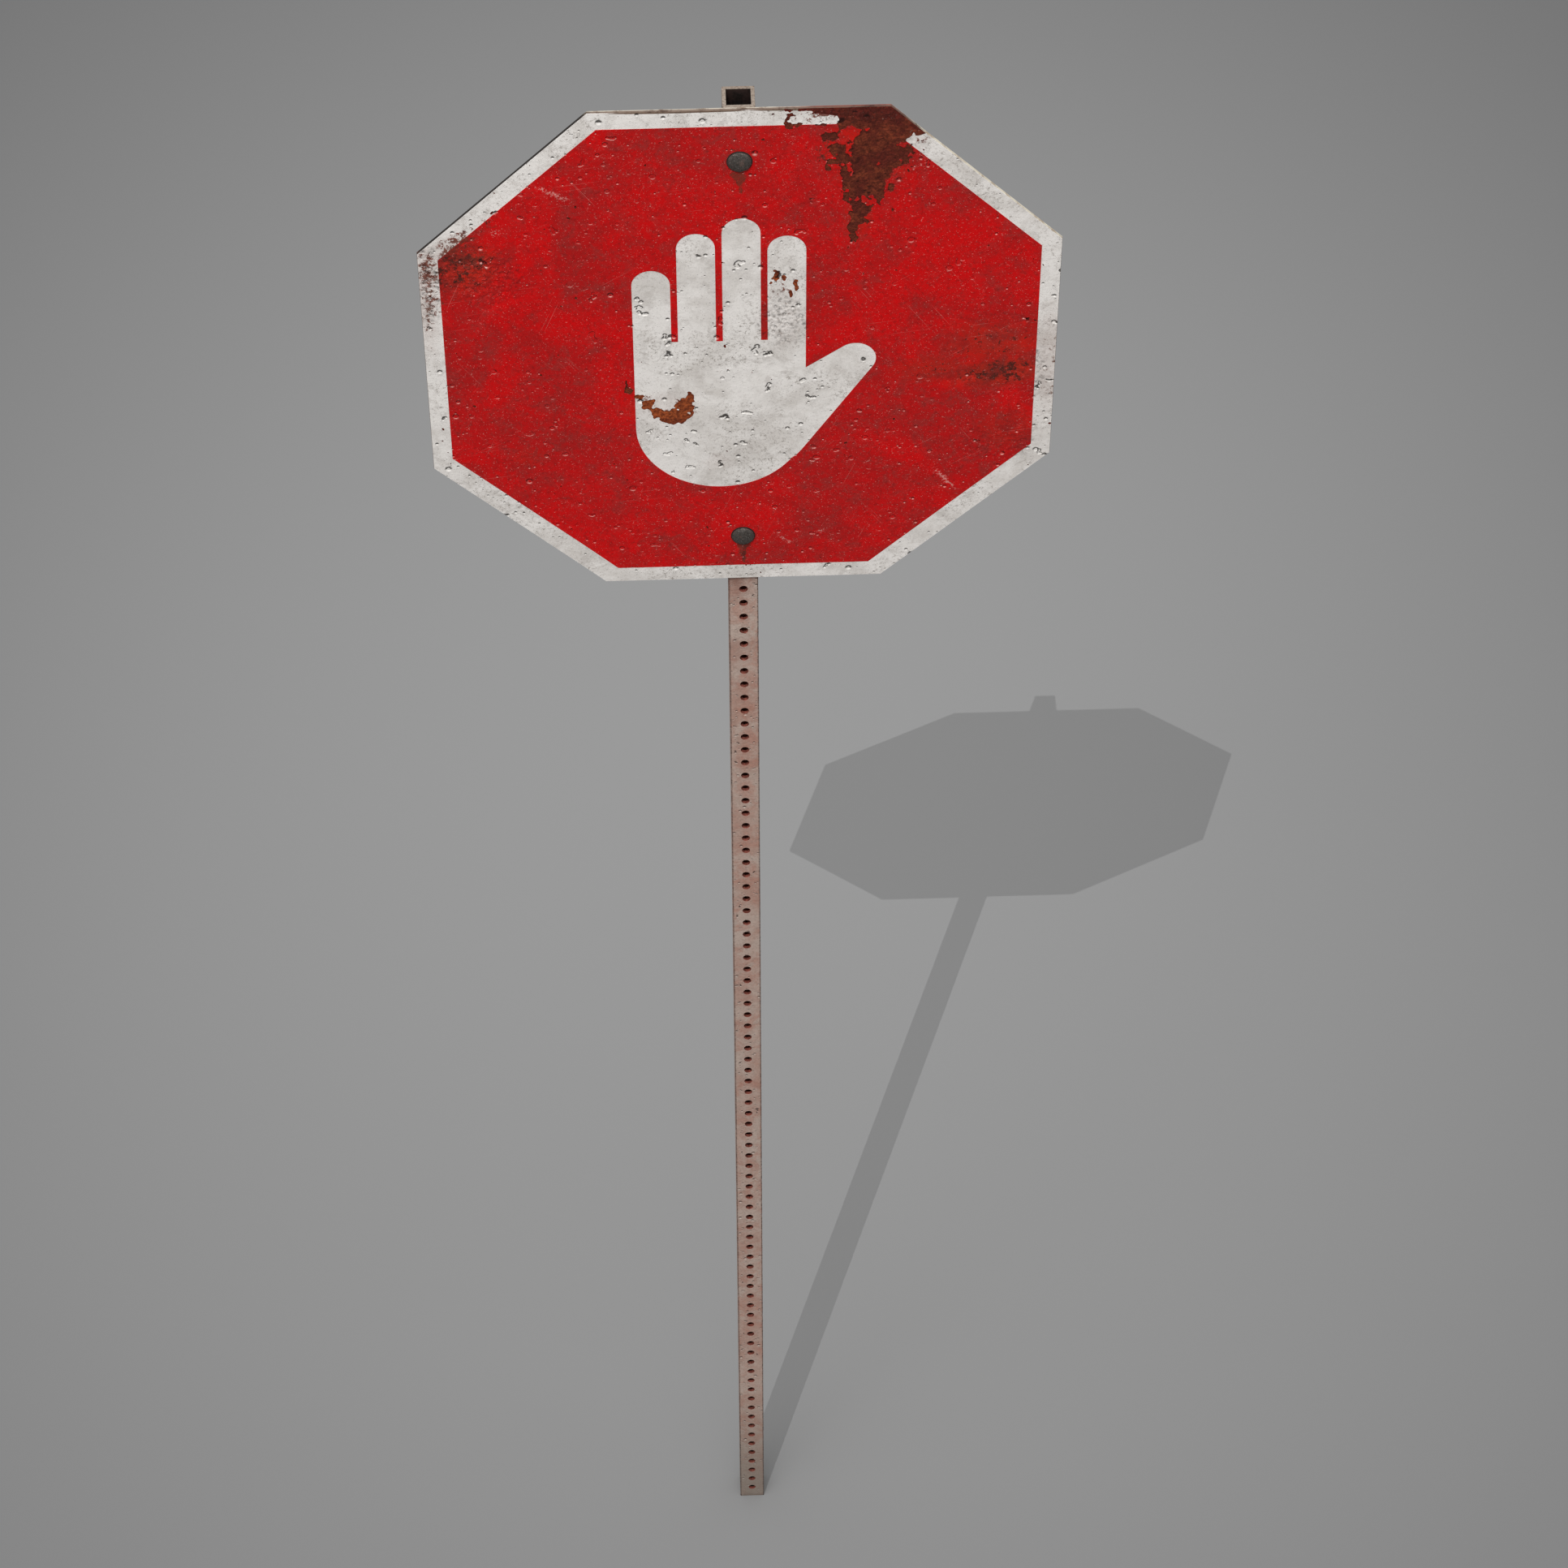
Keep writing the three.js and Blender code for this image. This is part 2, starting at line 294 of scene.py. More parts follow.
    def scratches(self, turn, seed):
        """Thin straight scratches along one direction, in some places only."""
        across, along, low = 0.7, 110.0, 0.73
        stretched = self.moved((seed, 0, 0), math.radians(turn), (1 / along, 1 / along, 1 / across))
        lines = self.noise(1.0, 1.0, 0.4, vector=stretched)
        places = self.noise(110.0, 2.0, 0.5, vector=self.moved((seed, 0, 0)))
        return self.times(self.band(lines, low, low + 0.04), self.band(places, 0.55, 0.65))

    def painted(self, name):
        """A value from 0 to 1 that the mesh carries at its vertices."""
        return self.node("ShaderNodeAttribute", attribute_name=name).outputs["Fac"]

    def bump(self, height, distance, strength):
        made = self.node("ShaderNodeBump")
        made.inputs["Strength"].default_value = strength
        made.inputs["Distance"].default_value = distance * MM
        self.feed(made.inputs["Height"], height)
        self.feed(self.shader.inputs["Normal"], made.outputs["Normal"])

    def done(self, roughness, metallic=0.0):
        self.feed(self.shader.inputs["Base Color"], self.colour)
        self.feed(self.shader.inputs["Roughness"], roughness)
        self.feed(self.shader.inputs["Metallic"], metallic)
        return self.material


def linear(value):
    """A 0 to 255 screen value as a linear number."""
    value /= 255
    return value / 12.92 if value <= 0.04045 else ((value + 0.055) / 1.055) ** 2.4


blank_low, blank_high = millimetres("sign_blank")
SIGN_HALF = (blank_high[0] - blank_low[0]) / 2
SIGN_CENTRE = (blank_low + blank_high) / 2
SIGN_PLACE = tuple(SIGN_CENTRE * MM)
BOLT_HEIGHTS = [sum(millimetres(f"{side}_bolt"))[2] / 2 - SIGN_CENTRE[2]
                for side in ("upper", "lower")]

# Stains over the sign's whole face: brown at the right, at the left corner, round the bare
# patches and below the bolts.
BROWN_STAINS = [
    (312, -36, 84, 34, 10, 0.9), (306, 12, 90, 54, 0, 0.55), (372, -20, 26, 130, 0, 0.6),
    (240, -30, 76, 32, 0, 0.5), (330, -130, 60, 50, 0, 0.35), (-332, 152, 66, 62, 0, 0.75),
    (-374, 110, 24, 120, 0, 0.75), (155, 318, 76, 78, 0, 0.45), (139, 215, 24, 44, 0, 0.45),
    (-98, -80, 58, 36, 0, 0.45), (-30, -175, 26, 20, 0, 0.3), (-262, -160, 34, 24, 0, 0.25),
    (50, 60, 46, 70, 0, 0.3),
]

# The dark line along the front of the top edge.
EDGE_STAINS = [(-70, 380.2, 96, 2.4, 0, 1.0), (70, 380.2, 70, 2.4, 0, 1.0)]

# Finely speckled rust: at the left corner and in a drip below each bolt.
RUST_SPECKLES = [
    (-336, 188, 56, 30, 40, 1.0), (-322, 165, 44, 34, 0, 1.0), (-370, 150, 24, 62, 0, 1.0),
    (-366, 100, 22, 44, 0, 0.8), (-296, 218, 40, 18, 45, 0.6), (48, 112, 44, 30, 30, 0.6),
    (-137, -50, 16, 12, 0, 0.8), (-112, -66, 22, 18, 0, 0.7), (190, 350, 50, 34, 0, 0.5),
    (-92, -92, 30, 20, 0, 0.8), (-70, -80, 26, 30, 0, 0.8), (90, 370, 46, 15, 0, 0.8),
    (215, 335, 26, 20, 0, 0.7), (104, 322, 30, 44, 0, 0.8), (178, 290, 28, 50, 0, 0.8),
    (140, 222, 24, 44, 0, 0.8),
] + [(x, height + z, width, tall, 0, strength) for height in BOLT_HEIGHTS
     for x, z, width, tall, strength in (
         (0, -20, 21, 15, 1.3), (0, -30, 11, 16, 1.3), (1, -42, 5, 14, 1.2), (0, 0, 27, 26, 0.8))]

PALE_SCUFFS = [
    (-216, 262, 42, 7, -28, 0.5), (-288, 205, 18, 8, -10, 0.3), (250, -212, 38, 6, -52, 0.6),
    (52, -312, 26, 5, -40, 0.5), (205, 290, 26, 4, 35, 0.35), (95, -300, 16, 4, 20, 0.4),
]


def stained(f, brown, strength, speck_low, specks):
    """Lays the brown stains over a face, with fine specks in them."""
    stains = f.spots(BROWN_STAINS)
    f.over(stains, brown, strength)
    f.over(f.speckled(stains, 9.0, speck_low), specks)


def rust_speckled(f, colour):
    speckles = f.spots(RUST_SPECKLES, ragged=0.5, grain=9.0, soft=1.0)
    f.over(f.speckled(speckles, 7.0, 0.64), colour)


def worn_face_with_painted_light(f, scratches, line, strength, painted_shade, chip_and_highlight_colour):
    """Lays scratches, painted shade on the craters' upper halves and the wrinkles' valleys, and chips
    with a painted highlight on the craters' lower rims over a face, and roughens it.
    """
    for turn, seed in scratches:
        f.over(f.scratches(turn, seed), line, strength)
    # Painted shade on the craters' upper halves and in the wrinkles' valleys.
    f.over(f.painted("painted_shade"), *painted_shade)
    # Chips with a painted highlight on the craters' lower rims.
    f.over(f.painted("chips_and_highlight"), chip_and_highlight_colour)
    f.bump(f.math("ADD", f.noise(3.0, 5.0, 0.65), f.times(f.noise(14.0, 4.0, 0.6), 1.5)), 0.45, 0.7)


def red_film_finish():
    f = Finish("weathered_red_film", specular=0.16)
    cloud = f.band(f.noise(130.0, 5.0, 0.6, 0.4), 0.4, 0.62)
    haze = f.band(f.noise(48.0, 8.0, 0.72, 0.6), 0.46, 0.6)
    mottle = f.band(f.noise(24.0, 12.0, 0.8, 0.5), 0.47, 0.6)
    fleck = f.band(f.noise(5.0, 6.0, 0.8), 0.51, 0.62)
    speck = f.band(f.noise(1.8, 2.0, 0.6), 0.66, 0.72)
    f.colour = f.mix(cloud, (207, 9, 12), (184, 19, 20))
    f.over(haze, (150, 26, 25), 0.4)
    f.over(mottle, (140, 46, 42), f.band(cloud, 0.0, 1.0, 0.2, 0.6))
    f.over(fleck, (116, 24, 22), 0.45)
    f.over(speck, (212, 138, 128), 0.7)
    stained(f, f.mix(haze, (164, 44, 27), (110, 40, 31)), 0.8, 0.67, (78, 34, 27))
    rust_speckled(f, f.mix(mottle, (128, 46, 35), (84, 33, 27)))
    scuffs = f.spots(PALE_SCUFFS, ragged=0.6, grain=12.0, soft=1.0)
    f.over(f.speckled(scuffs, 4.0, 0.6, 0.26), (222, 156, 148), 0.7)
    worn_face_with_painted_light(f, ((33, 0.0), (-55, 3.0), (8, 7.0), (68, 11.0)), (212, 122, 114), 0.7,
              ((44, 10, 10), 0.85), (240, 186, 176))
    return f.done(f.band(mottle, 0.0, 1.0, 0.38, 0.62))


def white_sheeting_finish():
    f = Finish("weathered_white_sheeting", specular=0.3)
    cloud = f.band(f.noise(60.0, 6.0, 0.65, 0.5), 0.42, 0.66)
    smudge = f.band(f.noise(26.0, 9.0, 0.78, 0.5), 0.5, 0.62)
    dirt = f.band(f.noise(4.5, 10.0, 0.85, 0.4), 0.52, 0.61)
    places = f.band(f.noise(80.0, 4.0, 0.6), 0.42, 0.58, 0.12, 0.8)
    speck = f.band(f.noise(1.8, 3.0, 0.6), 0.62, 0.7)
    f.colour = f.mix(cloud, (236, 231, 226), (216, 210, 204))
    f.over(smudge, (178, 170, 163), 0.4)
    f.over(dirt, (126, 116, 106), places)
    f.over(speck, (96, 84, 75), 0.55)
    stained(f, (164, 134, 124), 0.4, 0.68, (116, 84, 73))
    rust_speckled(f, f.mix(smudge, (122, 74, 62), (84, 46, 38)))
    edge = f.spots(EDGE_STAINS, ragged=0.15, grain=20.0, soft=0.3)
    f.over(edge, f.mix(dirt, (112, 92, 78), (66, 50, 42)))
    worn_face_with_painted_light(f, ((38, 1.0), (-47, 5.0)), (135, 126, 118), 0.5, ((46, 40, 36), 0.92), (240, 236, 230))
    return f.done(f.band(dirt, 0.0, 1.0, 0.42, 0.7))


def rusted_plate_finish():
    """The plate's front where the face has flaked off."""
    f = Finish("flaked_rust", specular=0.15)
    coarse = f.band(f.noise(22.0, 8.0, 0.74, 0.5), 0.4, 0.62)
    fine = f.band(f.noise(3.5, 6.0, 0.75), 0.42, 0.62)
    f.colour = f.mix(coarse, (100, 37, 27), (130, 58, 36))
    f.over(fine, (70, 31, 24), 0.55)
    maroon = f.spots([(140, 372, 120, 26, 0, 0.7)])
    f.over(maroon, f.mix(fine, (96, 32, 26), (66, 26, 22)))
    orange = f.spots([(-98, -80, 75, 45, 0, 1.0), (55, 118, 40, 40, 0, 0.7)])
    f.over(orange, f.mix(fine, (172, 86, 44), (112, 50, 28)))
    flakes = f.band(f.noise(4.0, 8.0, 0.85), 0.6, 0.68)
    top = f.spots([(128, 368, 100, 16, 0, 1.0), (205, 335, 30, 26, 0, 1.0)])
    f.over(flakes, (190, 176, 166), top)
    # Painted shade on the craters' upper halves and in the wrinkles' valleys.
    f.over(f.painted("painted_shade"), (36, 16, 13), 0.8)
    f.bump(f.math("ADD", coarse, fine), 0.6, 0.9)
    return f.done(f.band(fine, 0.0, 1.0, 0.7, 0.95))


def plate_edge_finish():
    """The sign's cut edge: bare dull steel, dark at the upper left, rusted at the upper right, with a
    painted highlight along the upper right.
    """
    f = Finish("plate_edge", specular=0.3)
    streak = f.band(f.noise(18.0, 6.0, 0.7), 0.45, 0.66)
    f.colour = f.mix(streak, (186, 178, 164), (120, 98, 80))
    rust = f.spots([(135, 378, 110, 40, 0, 1.0), (-376, 170, 24, 50, 0, 0.9)])
    f.over(rust, f.mix(streak, (132, 52, 38), (86, 36, 28)))
    front = f.band(f.along("Y"), -0.0204, -0.0213, 0.0, 0.85)
    f.over(front, f.mix(streak, (96, 74, 62), (58, 44, 38)))
    # A painted pale highlight along the upper right edge.
    pale = f.spots([(292, 256, 132, 24, -45, 0.9)], ragged=0.05, soft=0.12)
    f.over(pale, f.mix(streak, (214, 206, 188), (160, 142, 122)))
    f.over(f.spots([(-278, 278, 156, 24, 45, 1.0)], ragged=0.05, soft=0.12), (34, 28, 25))
    f.bump(streak, 0.3, 0.6)
    return f.done(f.band(streak, 0.0, 1.0, 0.55, 0.85))


def plain_rust(name, specular, pale, dark, bump, roughness):
    f = Finish(name, specular)
    fine = f.band(f.noise(4.0, 6.0, 0.7), 0.4, 0.62)
    f.bump(fine, *bump)
    f.colour = f.mix(fine, pale, dark)
    return f.done(f.band(fine, 0.0, 1.0, *roughness))


def lip_finish():
    """The broken edge of the face round a bare patch, stained by the rust."""
    return plain_rust("stained_lip", 0.1, (96, 34, 26), (60, 28, 22), (0.2, 0.6), (0.7, 0.9))


def plate_back_finish():
    """The plate's back: dull zinc grey with rust along the edges, the post and the bolts."""
    f = Finish("plate_back", specular=0.4)
    spangle = f.band(f.cells(14.0), 0.1, 0.75)
    cloud = f.band(f.noise(90.0, 6.0, 0.62, 0.5), 0.4, 0.66)
    fine = f.band(f.noise(4.0, 6.0, 0.7), 0.4, 0.7)
    f.colour = f.mix(spangle, (184, 183, 179), (168, 167, 163))
    f.over(cloud, (146, 136, 126), 0.6)
    places = f.spots([
        (150, 330, 110, 90, 0, 0.9), (-345, 150, 70, 90, 0, 0.8), (0, 0, 34, 400, 0, 0.5),
        (-100, -80, 60, 45, 0, 0.5), (330, -60, 60, 90, 0, 0.6), (0, -370, 300, 26, 0, 0.5),
    ], soft=1.0)
    rust = f.band(f.math("ADD", f.noise(46.0, 12.0, 0.78, 0.8), f.times(places, 0.16)), 0.59, 0.64)
    f.over(rust, f.mix(fine, (134, 78, 54), (92, 50, 38)))
    f.bump(f.math("ADD", fine, rust), 0.25, 0.6)
    return f.done(f.band(rust, 0.0, 1.0, 0.5, 0.9), f.band(rust, 0.0, 0.6, 0.2, 0.0))


def post_finish():
    f = Finish("rusted_post", specular=0.3)
    cloud = f.band(f.noise(120.0, 6.0, 0.65, 0.6), 0.4, 0.64)
    blush = f.band(f.noise(34.0, 7.0, 0.7, 0.8), 0.44, 0.66)
    fine = f.band(f.noise(3.0, 6.0, 0.7), 0.38, 0.68)
    speck = f.band(f.noise(1.6, 3.0, 0.6), 0.62, 0.74)
    height = f.along("Z")
    f.colour = f.mix(cloud, (192, 172, 160), (180, 146, 132))
    f.over(blush, (176, 120, 102), 0.6)
    f.over(fine, (134, 112, 102), 0.35)
    f.over(speck, (84, 62, 54), 0.5)
    f.over(f.band(height, 0.35, 0.0, 0.0, 0.8), (126, 116, 106))
    # Painted shade on the post just below the sign, in a reddish brown.
    f.over(f.band(height, 1.85, 2.2, 0.0, 0.55), (118, 72, 60), cloud)
    f.over(f.band(height, 2.8, 2.87, 0.0, 0.8), f.mix(fine, (136, 128, 116), (94, 86, 76)))
    sides = [f.math("ABSOLUTE", f.along(axis)) for axis in ("X", "Y")]
    edge = f.band(f.math("MINIMUM", *sides), 0.0168, 0.018, 0.0, 0.9)
    f.over(edge, (66, 50, 44), f.band(fine, 0.0, 1.0, 0.6, 1.0))
    # Painted shade on the pits' upper halves.
    f.over(f.painted("painted_shade"), (58, 40, 34), 0.8)
    # Chips with a painted highlight on the pits' lower rims.
    f.over(f.painted("chips_and_highlight"), (206, 196, 186), 0.9)
    f.bump(f.math("ADD", fine, f.times(f.noise(9.0, 5.0, 0.65), 2.0)), 0.3, 0.6)
    return f.done(f.band(fine, 0.0, 1.0, 0.6, 0.85))


def hole_wall_finish():
    return plain_rust("hole_wall_rust", 0.15, (138, 78, 66), (92, 50, 42), (0.3, 0.8), (0.8, 0.95))


def bore_finish():
    """The inside of the tube, with painted shade towards the top."""
    f = Finish("post_bore", specular=0.1)
    fine = f.band(f.noise(9.0, 6.0, 0.7), 0.4, 0.62)
    f.bump(fine, 0.4, 0.8)
    f.colour = f.mix(fine, (176, 104, 88), (128, 72, 60))
    # Painted shade inside the tube towards its top.
    f.over(f.band(f.along("Z"), 2.3, 2.55), f.mix(fine, (40, 29, 26), (24, 19, 17)))
    return f.done(f.band(fine, 0.0, 1.0, 0.8, 0.95))


def bolt_finish():
    f = Finish("dark_bolt_steel", specular=0.5)
    fine = f.band(f.noise(2.4, 6.0, 0.75), 0.36, 0.66)
    speck = f.band(f.noise(1.1, 3.0, 0.6), 0.63, 0.72)
    rust = f.band(f.noise(8.0, 7.0, 0.72, 0.6), 0.55, 0.68)
    f.colour = f.mix(fine, (94, 88, 83), (60, 55, 51))
    f.over(rust, (98, 66, 54), 0.6)
    f.over(speck, (190, 184, 178))
    f.bump(f.math("ADD", fine, speck), 0.25, 0.8)
    return f.done(f.band(fine, 0.0, 1.0, 0.45, 0.7), f.band(rust, 0.0, 0.8, 0.55, 0.0))


def zinc_finish():
    f = Finish("dull_zinc", specular=0.5)
    fine = f.band(f.noise(3.0, 6.0, 0.7), 0.38, 0.66)
    rust = f.band(f.noise(7.0, 7.0, 0.74, 0.8), 0.52, 0.66)
    f.colour = f.mix(fine, (166, 166, 164), (128, 127, 124))
    f.over(rust, (122, 70, 48), 0.9)
    f.bump(f.math("ADD", fine, rust), 0.15, 0.7)
    return f.done(f.band(rust, 0.0, 1.0, 0.42, 0.85), f.band(rust, 0.0, 0.7, 0.75, 0.0))


def nylon_finish():
    f = Finish("dark_nylon", specular=0.35)
    fine = f.noise(2.0, 4.0, 0.6)
    f.colour = f.mix(f.band(fine, 0.4, 0.7), (24, 20, 18), (44, 34, 30))
    f.bump(fine, 0.1, 0.5)
    return f.done(f.band(fine, 0.3, 0.7, 0.6, 0.8))


# ---------------------------------------------------------------- outlines, in millimetres

def along_loop(corners, step):
    """A closed outline through the corners, with points no further apart than step."""
    points = []
    for start, end in zip(corners, corners[1:] + corners[:1]):
        start, end = np.array(start, float), np.array(end, float)
        count = max(1, math.ceil(np.linalg.norm(end - start) / step))
        points += [tuple(start + (end - start) * i / count) for i in range(count)]
    return points


def octagon(half, upper, lower, step=6.0):
    return along_loop([
        (-lower, -half), (lower, -half), (half, -lower), (half, upper),
        (upper, half), (-upper, half), (-half, upper), (-half, -lower),
    ], step)


def arc(x, z, radius_x, radius_z, start, end, count):
    angles = np.linspace(start, end, count)
    return [(x + radius_x * math.cos(a), z + radius_z * math.sin(a)) for a in angles]


def tapered_bar(start, end):
    """A straight bar with round ends of two radii. Each end is (x, z, radius)."""
    dx, dz = end[0] - start[0], end[1] - start[1]
    along = math.atan2(dz, dx)
    side = math.acos((start[2] - end[2]) / math.hypot(dx, dz))
    tip = arc(end[0], end[1], end[2], end[2], along - side, along + side, 22)
    root_end = along - side + 2 * math.pi
    return tip + arc(start[0], start[1], start[2], start[2], along + side, root_end, 22)


def palm():
    half = 1.5 * FINGER_PITCH + FINGER_RADIUS
    heel = arc(0, PALM_WAIST, half, PALM_WAIST - PALM_BOTTOM, math.pi, 2 * math.pi, 40)
    return [(half, PALM_TOP), (-half, PALM_TOP)] + heel


def hand():
    """The outlines whose union is the hand."""
    parts = [palm(), tapered_bar(THUMB_ROOT, THUMB_TIP)]
    for index, tip in enumerate(FINGERTIP_HEIGHTS):
        x = (index - 1.5) * FINGER_PITCH
        root = (x, FINGER_ROOT_HEIGHT, FINGER_RADIUS)
        parts.append(tapered_bar(root, (x, tip - FINGER_RADIUS, FINGER_RADIUS)))
    return [along_loop([(x + HAND_SHIFT, z) for x, z in part], 5.0) for part in parts]


def square(x, z, side):
    half = side / 2
    return [(x - half, z - half), (x + half, z - half), (x + half, z + half), (x - half, z + half)]


def inside(points, loop):
    """Which points lie inside a closed outline."""
    crossings = np.zeros(len(points), int)
    px, pz = points[:, 0], points[:, 1]
    for (x0, z0), (x1, z1) in zip(loop, loop[1:] + loop[:1]):
        if z0 == z1:
            continue
        spans = (z0 > pz) != (z1 > pz)
        crossings += spans & (px < x0 + (pz - z0) / (z1 - z0) * (x1 - x0))
    return crossings % 2 == 1


def clear_of(points, anchors, gap):
    """The points that lie further than gap from every anchor."""
    tree = kdtree.KDTree(len(anchors))
    for index, (x, z) in enumerate(anchors):
        tree.insert((x, z, 0.0), index)
    tree.balance()
    return [p for p in points if tree.find((p[0], p[1], 0.0))[2] > gap]


def joined_areas(faces, walls=frozenset()):
    """A number for each triangle, the same for all that are joined by edges other than walls."""
    first_face, area = {}, list(range(len(faces)))

    def root(index):
        while area[index] != index:
            area[index] = area[area[index]]
            index = area[index]
        return index

    for index, (a, b, c) in enumerate(faces.tolist()):
        for edge in (frozenset((a, b)), frozenset((b, c)), frozenset((c, a))):
            if edge not in walls:
                area[root(index)] = root(first_face.setdefault(edge, index))
    return np.array([root(index) for index in range(len(faces))])


def triangle_sizes(points, faces):
    start, second, third = points[faces].transpose(1, 2, 0)
    first, last = second - start, third - start
    return np.abs(first[0] * last[1] - first[1] * last[0]) / 2


def mostly(flags, points, faces, areas):
    """Whether a flag holds for most of the joined area that each triangle is in."""
    sizes = triangle_sizes(points, faces)
    share = np.bincount(areas, sizes * flags) / np.maximum(np.bincount(areas, sizes), 1e-9)
    return share[areas] > 0.5


def without_crumbs(points, faces, least=4.0):
    """The triangles, without the islands of less than a few square millimetres."""
    areas = joined_areas(faces)
    return faces[np.bincount(areas, triangle_sizes(points, faces))[areas] >= least]


def triangulate(loops, segments, free):
    """Triangles over all the points, with every loop and segment kept as edges, and the number
    of the area between those edges that each triangle is in."""
    points, edges = [], []
    for loop in loops:
        start = len(points)
        points += loop
        edges += [(start + i, start + (i + 1) % len(loop)) for i in range(len(loop))]
    for first, second in segments:
        edges.append((len(points), len(points) + 1))
        points += [first, second]
    points += free
    result = delaunay_2d_cdt([Vector(p) for p in points], edges, [], 0, 1e-3)
    walls = {frozenset(edge) for edge, inputs in zip(result[1], result[4]) if inputs}
    faces = np.array(result[2])
    return np.array([tuple(v) for v in result[0]]), faces, joined_areas(faces, walls)


# ---------------------------------------------------------------- damage

def crater_field(points, craters):
    """Depth below the surface at each point, how much painted shade it has there, and how much
    chipping with a painted highlight. A crater is (x, z, radius, depth). It has a low rim, painted
    shade on its upper half and chips with a painted highlight on its lower."""
    depth, rim, painted_shade, chips_and_highlight = np.zeros((4, len(points)))
    order = np.argsort(points[:, 1])
    heights = points[order, 1]
    for x, z, radius, deep in craters:
        first, last = np.searchsorted(heights, (z - 2 * radius, z + 2 * radius))
        near = order[first:last]
        across, up = (points[near, 0] - x) / radius, (points[near, 1] - z) / radius
        far = np.hypot(across, up)
        depth[near] = np.maximum(depth[near], deep * np.clip(1 - far ** 2, 0, 1))
        edge = np.exp(-((far - 1.15) / 0.2) ** 2)
        rim[near] = np.maximum(rim[near], 0.25 * deep * edge * smooth_step(-up, -0.4, 0.6))
        # Painted shade over the crater's upper half.
        dark = smooth_step(up, -0.2, 0.1) * smooth_step(far, 1.5, 1.1)
        painted_shade[near] = np.maximum(painted_shade[near], dark)
        # Chips with a painted highlight on the crater's lower side.
        lip = np.exp(-(across / 0.62) ** 2 - ((up + 0.72) / 0.42) ** 2)
        chips_and_highlight[near] = np.maximum(chips_and_highlight[near], lip)
    return depth - rim * (depth < 0.05), painted_shade, chips_and_highlight * (1 - painted_shade)


# Rings of mesh points round a crater: (share of its radius, number of points).
CRATER_RINGS = ((1.6, 8), (1.12, 10), (0.85, 10), (0.45, 5))


def crater_points(craters):
    """Points in rings over each crater, dense enough for its shape."""
    points = []
    for share, count in CRATER_RINGS:
        for angle in np.arange(count) / count * 2 * math.pi + share:
            across, up = share * math.cos(angle), share * math.sin(angle)
            points += [(x + across * radius, z + up * radius) for x, z, radius, _ in craters]
    return points + [(x, z) for x, z, _, _ in craters]


def gouge(rng, x, z, radius, turn, length):
    """A short crooked row of overlapping craters."""
    chain = []
    for _ in range(length):
        chain.append((x, z, radius * rng.uniform(0.7, 1.1), radius * 0.27))
        turn += rng.normal(0, 0.8)
        x += radius * 1.05 * math.cos(turn)
        z += radius * 1.05 * math.sin(turn)
    return chain


def sign_craters(rng):
    """Small pits all over the face, and fewer gouges."""
    craters = []
    for _ in range(PIT_COUNT):
        radius = min(0.85 + rng.exponential(0.6), 3.4)
        x, z = rng.uniform(-SIGN_HALF, SIGN_HALF, 2)
        craters.append((x, z, radius, radius * rng.uniform(0.2, 0.28)))
    for _ in range(GOUGE_COUNT):
        x, z = rng.uniform(-SIGN_HALF, SIGN_HALF, 2)
        turn = rng.choice((0.0, math.pi)) + rng.normal(0, 0.7)
        craters += gouge(rng, x, z, rng.uniform(1.6, 3.0), turn, rng.integers(2, 7))
    for x, z in GOUGED_PLACES:
        for _ in range(rng.integers(3, 6)):
            turn = rng.choice((0.0, math.pi)) + rng.normal(0, 0.8)
            at = (x + rng.normal(0, 4), z - rng.uniform(0, 34))
            craters += gouge(rng, *at, rng.uniform(1.8, 3.0), turn, rng.integers(2, 5))
    return craters


# Bare patches where the face has flaked off: (x, z, half width, half height).
BARE_PATCHES = [
    (128, 372, 76, 17), (190, 350, 30, 24), (162, 322, 42, 50), (150, 272, 30, 34),
    (166, 284, 20, 24), (132, 268, 18, 12), (139, 224, 13, 22), (134, 198, 6, 18),
    (106, 338, 15, 10), (114, 322, 14, 9), (108, 302, 6, 5), (101, 292, 5, 4.5), (120, 306, 11, 9),
    (124, 284, 9, 11), (60, 364, 10, 13), (176, 262, 5, 8), (152, 357, 44, 13),
    (85, 379, 34, 5), (186, 360, 22, 14),
    (-137, -52, 6, 5), (-125, -62, 8, 6), (-114, -76, 8, 9), (-104, -90, 8, 9),
    (-92, -100, 11, 9), (-78, -95, 16, 14), (-70, -80, 14, 15), (-63, -66, 6, 9),
    (42, 130, 3, 9), (52, 124, 2.5, 7), (66, 112, 2, 8), (60, 98, 2, 6), (36, 118, 2, 5),
]

# Islands of the face that are left inside them.
KEPT_PATCHES = [(126, 344, 11, 8), (88, 364, 24, 7), (212, 334, 7, 5)]
BARE_GRID = 1.25

# Blistered paint: (x, z, half width, half height, lift).
BLISTERS = [
    (-312, 140, 66, 60, 0.95), (50, 56, 42, 52, 0.6), (155, 300, 78, 95, 0.3),
    (318, -150, 58, 44, 0.5), (-372, 130, 26, 90, 0.55), (322, -30, 66, 70, 0.65),
]


def from_ellipse(points, x, z, width, height):
    """How far each point is from an ellipse's centre, 1 at its edge."""
    return np.hypot((points[:, 0] - x) / width, (points[:, 1] - z) / height)


def bareness(points):
    """Above zero where the plate is bare. The patches' edges are made ragged by noise."""
    field = np.full(len(points), -1.0)
    for patch in BARE_PATCHES:
        reach = 6.0 / min(patch[2:])
        near = np.clip(1 - from_ellipse(points, *patch), -1, 1)
        field = np.maximum(field, near / max(1.0, reach))
    for patch in KEPT_PATCHES:
        field = np.minimum(field, from_ellipse(points, *patch) - 1)
    near = field > -0.6
    rough = np.zeros(len(points))
    rough[near] = 0.4 * fractal(points[near], 16.0, 3, 1.0) + 0.42 * fractal(points[near], 6.0, 2, 2.0)
    return field + rough * smooth_step(field, -0.7, -0.2) - 0.12


